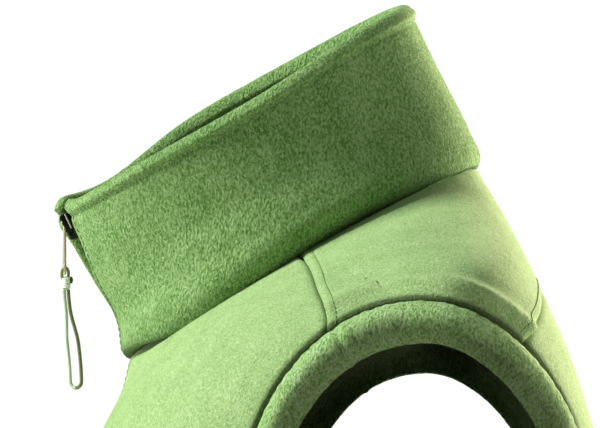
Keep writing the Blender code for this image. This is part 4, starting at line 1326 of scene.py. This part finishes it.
def make_slider(enamel, bare):
    """The slider: two plates, a post, a nose, ears that hold the pin, and a bare worn edge."""
    place = slider_frame()
    face = -CHAIN_DEPTH + SEAM_GAP + SLIDER_PLATE
    front = face - SLIDER_PLATE / 2
    rear = -SLOT_TAPE_DEPTH - TAPE_THICK - SLIDER_REAR_ROOM - SLIDER_REAR_PLATE / 2
    rear_up = (SLIDER_REAR_LENGTH - SLIDER_LENGTH) / 2
    post = CHAIN_END - SLIDER_HEIGHT + SEAM_GAP
    post_length = SLIDER_LENGTH / 2 - post
    post_up = post + post_length / 2
    nose_up = (NOSE_LENGTH - SLIDER_LENGTH) / 2
    blocks = [
        ((SLIDER_WIDTH, SLIDER_LENGTH, SLIDER_PLATE), 0, front, 0.0004, 0.12),
        ((SLIDER_REAR_WIDTH, SLIDER_REAR_LENGTH, SLIDER_REAR_PLATE), rear_up, rear, 0.0003, 0.0),
        ((SLIDER_WIDTH / 2, post_length, face - rear), post_up, (face + rear) / 2, 0.0003, 0.1),
        ((NOSE_WIDTH, NOSE_LENGTH, NOSE_OUT - front), nose_up, (NOSE_OUT + front) / 2, 0.0005, 0.1),
    ]
    parts = Parts()
    for size, up, out, edge, slope in blocks:
        points, faces = rounded(size, (0, up, out), edge, 3, slope)
        parts.add(moved(place, points), faces)
    for away in (-1, 1):
        middle = away * LUG_ASIDE
        points, faces = plate(EAR, middle - LUG_THICK / 2, middle + LUG_THICK / 2, 0.0003)
        parts.add(moved(place, points), faces)
        line = mix(WORN[0], WORN[1], np.linspace(0, 1, 9)[:, None]) * (away, 1, 1)
        parts.add(*tube(moved(place, line), WORN_RADIUS, sides=10), 1)
    pin = [(across, 0, 0) for across in np.linspace(-1, 1, 5) * (LUG_ASIDE + LUG_THICK / 4)]
    parts.add(*tube(moved(pivot_frame(), pin), PIN_RADIUS, sides=16), 1)
    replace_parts(placed("slider_cast", parts, [enamel, bare], crisp=True), "slider")


# The pull.

EYE_SOFT = 0.0002
STRANDS = 4
STRAND_RADIUS = 0.00042
STRAND_ORBIT = 0.00044
PLY_RADIUS = 0.00020
PLY_ORBIT = 0.00068
TWIST_PITCH = 0.0052
TWIST_STEP = 0.00045
HITCH_WRAPS = 5.5
WRAP_RADIUS = 0.00050
KNOB = (0.0004, 0.0028, -0.0016)
KNOB_PROFILE = ((0.0016, 0.0003), (0.0012, 0.0009), (0, 0.0012), (-0.0012, 0.0009), (-0.0016, 0.0003))


def upright(size, edge, aside, up):
    """A bar with rounded edges that stands along Z."""
    points, faces = rounded(size, (aside, up, 0), edge, 3)
    return points[:, [0, 2, 1]], faces


def make_tab(pivot, bronze):
    """The pull: a flat bar with an eye round the pin and a framed slot for the cord."""
    angle = np.linspace(0, WHOLE_TURN, 33)[:-1]
    half = [(EYE_HOLE, 1), (EYE_HOLE + EYE_SOFT / 2, 1.04)]
    half += [(EYE_RADIUS - EYE_SOFT, 1.04), (EYE_RADIUS, 0.85)]
    eye = []
    for radius, aside in [(radius, -aside) for radius, aside in half] + half[::-1]:
        across = np.full(angle.shape, aside * EYE_WIDTH / 2)
        eye.append(np.stack([across, radius * np.cos(angle), radius * np.sin(angle)], axis=1))
    parts = Parts()
    parts.add(moved(pivot, np.array(eye)), round_quads(len(eye), angle.size, both=True))

    top = -EYE_RADIUS * 0.7
    slot_middle = TAB_SLOT_UP - TAB_LENGTH
    slot_top = slot_middle + TAB_SLOT_HEIGHT / 2
    slot_foot = slot_middle - TAB_SLOT_HEIGHT / 2
    height, middle = top - slot_top, (top + slot_top) / 2
    points, faces = upright((TAB_WIDTH, height, TAB_THICK), 0.0004, 0, middle)
    points[:, 0] *= mix(1.0, EYE_WIDTH / TAB_WIDTH, (points[:, 2] - slot_top) / height)
    parts.add(moved(pivot, points), faces)

    foot_height = slot_foot + TAB_LENGTH
    cheek = (TAB_WIDTH - TAB_SLOT_WIDTH) / 2
    cheek_size = (cheek, TAB_SLOT_HEIGHT + 0.0016, TAB_THICK)
    for size, edge, aside, up in (
        ((TAB_WIDTH, foot_height, TAB_THICK), 0.0004, 0, foot_height / 2 - TAB_LENGTH),
        (cheek_size, 0.0003, (cheek - TAB_WIDTH) / 2, slot_middle),
        (cheek_size, 0.0003, (TAB_WIDTH - cheek) / 2, slot_middle),
    ):
        points, faces = upright(size, edge, aside, up)
        parts.add(moved(pivot, points), faces)
    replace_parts(placed("pull_tab_bar", parts, [bronze], "puller", crisp=True), "pull_tab")


def make_hitch(pivot, finishes):
    """The cord's wrapped head with the knob of its end, in a ring through the tab's slot."""
    head_top = -TAB_LENGTH - HITCH_GAP
    turns = np.linspace(0, HITCH_WRAPS * WHOLE_TURN, 150)
    radius = (HITCH_WIDTH + HITCH_DEPTH) / 4 - WRAP_RADIUS
    fall = head_top - WRAP_RADIUS - (HITCH_LENGTH - 2 * WRAP_RADIUS) * turns / turns[-1]
    coil = np.stack([radius * np.cos(turns), HITCH_BACK + radius * np.sin(turns), fall], axis=1)
    core = [(0, HITCH_BACK, head_top - HITCH_LENGTH * share) for share in np.linspace(0, 1, 6)]
    angle = np.linspace(0, WHOLE_TURN, 40, endpoint=False)
    back = HITCH_RING_BACK + HITCH_RING_REACH_Y * np.cos(angle)
    up = head_top + HITCH_RING_UP + HITCH_RING_REACH_Z * np.sin(angle)
    ring = np.stack([0 * angle, back, up], axis=1)
    knob = [(KNOB[0], KNOB[1], head_top + KNOB[2] + rise) for rise, _ in KNOB_PROFILE]
    parts = Parts()
    # The wraps take the cord's pale yarn painted as light, the core its green, and the ring and knob its
    # olive and dark yarns painted as shade.
    parts.add(*tube(moved(pivot, coil), WRAP_RADIUS, sides=8), 0)
    parts.add(*tube(moved(pivot, core), radius, sides=12), 1)
    parts.add(*tube(moved(pivot, ring), HITCH_RING_RADIUS, sides=8, closed=True), 2)
    parts.add(*tube(moved(pivot, knob), [width for _, width in KNOB_PROFILE], sides=10), 3)
    made = placed("cord_hitch_wraps", parts, finishes, "puller")
    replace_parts(made, "cord_hitch")
    return made


def loop_line():
    """The cord's line in the pivot's frame: down one side of a hanging loop and up the other."""
    start = -TAB_LENGTH - HITCH_GAP - HITCH_LENGTH - SEAM_GAP
    straight = LOOP_LENGTH - LOOP_HALF_WIDTH
    share = np.linspace(0, 1, 65)[:-1]
    side = mix(LOOP_START, LOOP_HALF_WIDTH, eased((share - LOOP_OPENS) / LOOP_OPENS_OVER))
    bend = np.radians(np.linspace(0, 180, 33))
    across = np.concatenate([side, LOOP_HALF_WIDTH * np.cos(bend), -side[::-1]])
    fall = straight * share
    down = np.concatenate([fall, straight + LOOP_HALF_WIDTH * np.sin(bend), fall[::-1]])
    back = HITCH_BACK + LOOP_DRIFT * eased((down / LOOP_LENGTH) ** 0.8)
    back = back + across * math.cos(LOOP_TURN)
    return np.stack([across * math.sin(LOOP_TURN), back, start - down], axis=1)


def make_cord(pivot, finishes, hitch):
    """The loop of cord: thick plies with thin ones laid between them, in lit and shaded copies of one yarn:
    olive and dark on its first half as painted shade, pale and green on its second as painted light.
    """
    line = moved(pivot, loop_line())
    run = run_of(line)
    at = np.linspace(0, run[-1], int(run[-1] / TWIST_STEP))
    line = read_along(line, run, at)
    ring, _ = tube(line, STRAND_ORBIT, sides=4)
    first, second = (ring[:, 0] - line) / STRAND_ORBIT, (ring[:, 1] - line) / STRAND_ORBIT
    middle = len(at) // 2
    parts = Parts()
    # The two halves are lit and shaded copies of one cord: painted shade on the first, painted light on the
    # second.
    for half, kept in ((1, slice(0, middle + 1)), (0, slice(middle, len(at)))):
        parts.add(*tube(line[kept], STRAND_ORBIT, sides=8), 3 * half)
        for number in range(2 * STRANDS):
            thin = number % 2
            angle = at / TWIST_PITCH * WHOLE_TURN + number * math.pi / STRANDS
            around = first * np.cos(angle)[:, None] + second * np.sin(angle)[:, None]
            strand = line + around * (PLY_ORBIT if thin else STRAND_ORBIT)
            radius = PLY_RADIUS if thin else STRAND_RADIUS
            parts.add(*tube(strand[kept], radius, sides=6), 2 * half + thin)
    made = placed("pull_cord_twist", parts, finishes, "puller")
    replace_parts(made, "pull_cord")


# The camera, the lights and the stage.

SHOULDER = Vector((0.05, 0.0, -0.05))
FLOOR_BELOW_HEM = 0.03
FLOOR_RADIUS = 16
DOME_RADIUS = 15.5
DOME_GLOW = 1.05
SKY_GLOW = 0.05


def aimed(name, data, position, ahead):
    """An object that looks ahead from its place."""
    made = linked(name, data)
    made.location = position
    made.rotation_mode = "QUATERNION"
    made.rotation_quaternion = ahead.to_track_quat("-Z", "Y")
    return made


def make_camera():
    data = bpy.data.cameras.new("camera")
    data.sensor_fit = "HORIZONTAL"
    data.sensor_width = SENSOR_MM
    data.lens = FOCAL_LENGTH_PX / IMAGE_WIDTH_PX * SENSOR_MM
    rise, turn = CAMERA_RISE, CAMERA_TURN
    ahead = Vector((-math.cos(rise) * math.cos(turn), -math.cos(rise) * math.sin(turn), math.sin(rise)))
    bpy.context.scene.camera = aimed("camera", data, LOOK_AT - ahead * CAMERA_DISTANCE, ahead)


def make_light(name, position, size, power, colour=(1, 1, 1)):
    """A square soft light that looks at the vest's shoulder."""
    data = bpy.data.lights.new(name, "AREA")
    data.size = size
    data.energy = power
    data.color = colour
    light = aimed(name, data, position, SHOULDER - Vector(position))
    light.visible_camera = False


def form(name, finish, create, **sizes):
    """An object made by one of bmesh's own forms."""
    mesh = bpy.data.meshes.new(name)
    bm = bmesh.new()
    create(bm, **sizes)
    bm.to_mesh(mesh)
    bm.free()
    mesh.materials.append(finish)
    return linked(name, mesh)


def make_stage():
    """A pale floor below the hem, and a white dome that only the camera sees."""
    paper = Finish("floor_paper", Roughness=0.9)
    grain = paper.node("TexNoise", Vector=paper.place(), Scale=40.0)[0]
    white = paper.ramp(grain, (0.3, (0.84, 0.84, 0.84)), (0.7, (0.88, 0.88, 0.88)))
    paper.link(white, "Base Color")
    circle = bmesh.ops.create_circle
    floor = form("floor", paper.material, circle, cap_ends=True, segments=64, radius=FLOOR_RADIUS)
    floor.location.z = cad_box[0].z - FLOOR_BELOW_HEM

    glowing = bpy.data.materials.new("backdrop_white")
    glowing.use_nodes = True
    tree = glowing.node_tree
    tree.nodes.remove(tree.nodes["Principled BSDF"])
    glow = tree.nodes.new("ShaderNodeEmission")
    glow.inputs["Strength"].default_value = DOME_GLOW
    tree.links.new(glow.outputs[0], tree.nodes["Material Output"].inputs[0])
    sphere = bmesh.ops.create_uvsphere
    dome = form("backdrop", glowing, sphere, u_segments=48, v_segments=24, radius=DOME_RADIUS)
    dome.visible_diffuse = dome.visible_glossy = dome.visible_transmission = False
    dome.visible_shadow = dome.visible_volume_scatter = False


def make_world():
    world = bpy.data.worlds.new("studio")
    world.use_nodes = True
    sky = world.node_tree.nodes["Background"]
    sky.inputs["Color"].default_value = (0.96, 1.0, 0.98, 1)
    sky.inputs["Strength"].default_value = SKY_GLOW
    bpy.context.scene.world = world
    bpy.context.scene.view_settings.view_transform = "Standard"


def make_studio():
    make_camera()
    make_world()
    make_stage()
    make_light("key", (0.2, -2.1, 1.5), 0.9, 106)
    make_light("high", (0.2, 1.3, 1.9), 0.9, 9)
    make_light("low", (-0.2, 2.2, 0.2), 0.9, 4)
    make_light("rim", (-1.8, 1.2, 0.5), 0.9, 160, (1.0, 0.84, 0.70))


def make_fastening():
    """The zip, its box, its slider and the pull."""
    tape, teeth = woven_tape(), moulded_teeth()
    for side in ("left", "right"):
        make_zip(side, tape, teeth)
    enamel = metal("dark_enamel", (0.012, 0.016, 0.012), (0.035, 0.042, 0.032), 0.30)
    bare = metal("worn_metal", (0.42, 0.40, 0.30), (0.66, 0.62, 0.48), 0.28)
    bronze = metal("dull_bronze", (0.66, 0.58, 0.38), (0.88, 0.82, 0.62), 0.55)
    make_zip_box(enamel)
    make_slider(enamel, bare)
    pivot = pivot_frame()
    make_tab(pivot, bronze)
    # Lit and shaded copies of one cord's yarns: pale and green as painted light, olive and dark as painted
    # shade.
    plies = [
        yarn("cord_pale_painted_light", (0.93, 0.97, 0.88), (1.0, 1.0, 0.98)),
        yarn("cord_green_painted_light", (0.20, 0.45, 0.14), (0.34, 0.60, 0.26)),
        yarn("cord_olive_painted_shade", (0.20, 0.24, 0.09), (0.36, 0.40, 0.18)),
        yarn("cord_dark_painted_shade", (0.05, 0.08, 0.02), (0.12, 0.16, 0.05)),
    ]
    make_cord(pivot, plies, make_hitch(pivot, plies))


def make_garment():
    """The panels, the bands and the collar, with all their stitches."""
    greens = (0.15, 0.31, 0.075), (0.30, 0.48, 0.17), (0.45, 0.63, 0.29), (0.80, 0.90, 0.64)
    body_cloth = fleece("fleece_body", greens, painted_glint_share=0.55, rise=0.0006, spread=0.24, patchy=0.28)
    # Lit and shaded copies of the body's fleece: the collar's greens are painted darker as shade, the bands'
    # lighter as light.
    painted_darker_greens = (0.12, 0.30, 0.06), (0.26, 0.48, 0.14), (0.42, 0.66, 0.27), (0.74, 0.92, 0.56)
    collar_cloth = fleece("fleece_collar_painted_darker", painted_darker_greens, painted_glint_share=0.20, rise=0.0024, spread=0.13, patchy=0.25)
    painted_lighter_greens = (0.18, 0.40, 0.09), (0.40, 0.66, 0.23), (0.58, 0.83, 0.40), (0.85, 0.97, 0.68)
    band_cloth = fleece("fleece_band_painted_lighter", painted_lighter_greens, painted_glint_share=0.20, rise=0.0020, spread=0.13, patchy=0.25)
    # The panels' inner faces take the fleece painted near black as painted shade.
    cloths = [body_cloth, painted_shade_fleece()]
    seams = Parts()
    for side in ("left", "right"):
        make_front(side, cloths, seams)
        make_band(side, band_cloth)
    make_back(cloths, seams)
    make_yoke(cloths, seams)
    make_collar(collar_cloth, seams)
    placed("seam_stitching", seams, [thread()])


make_studio()
make_fastening()
make_garment()
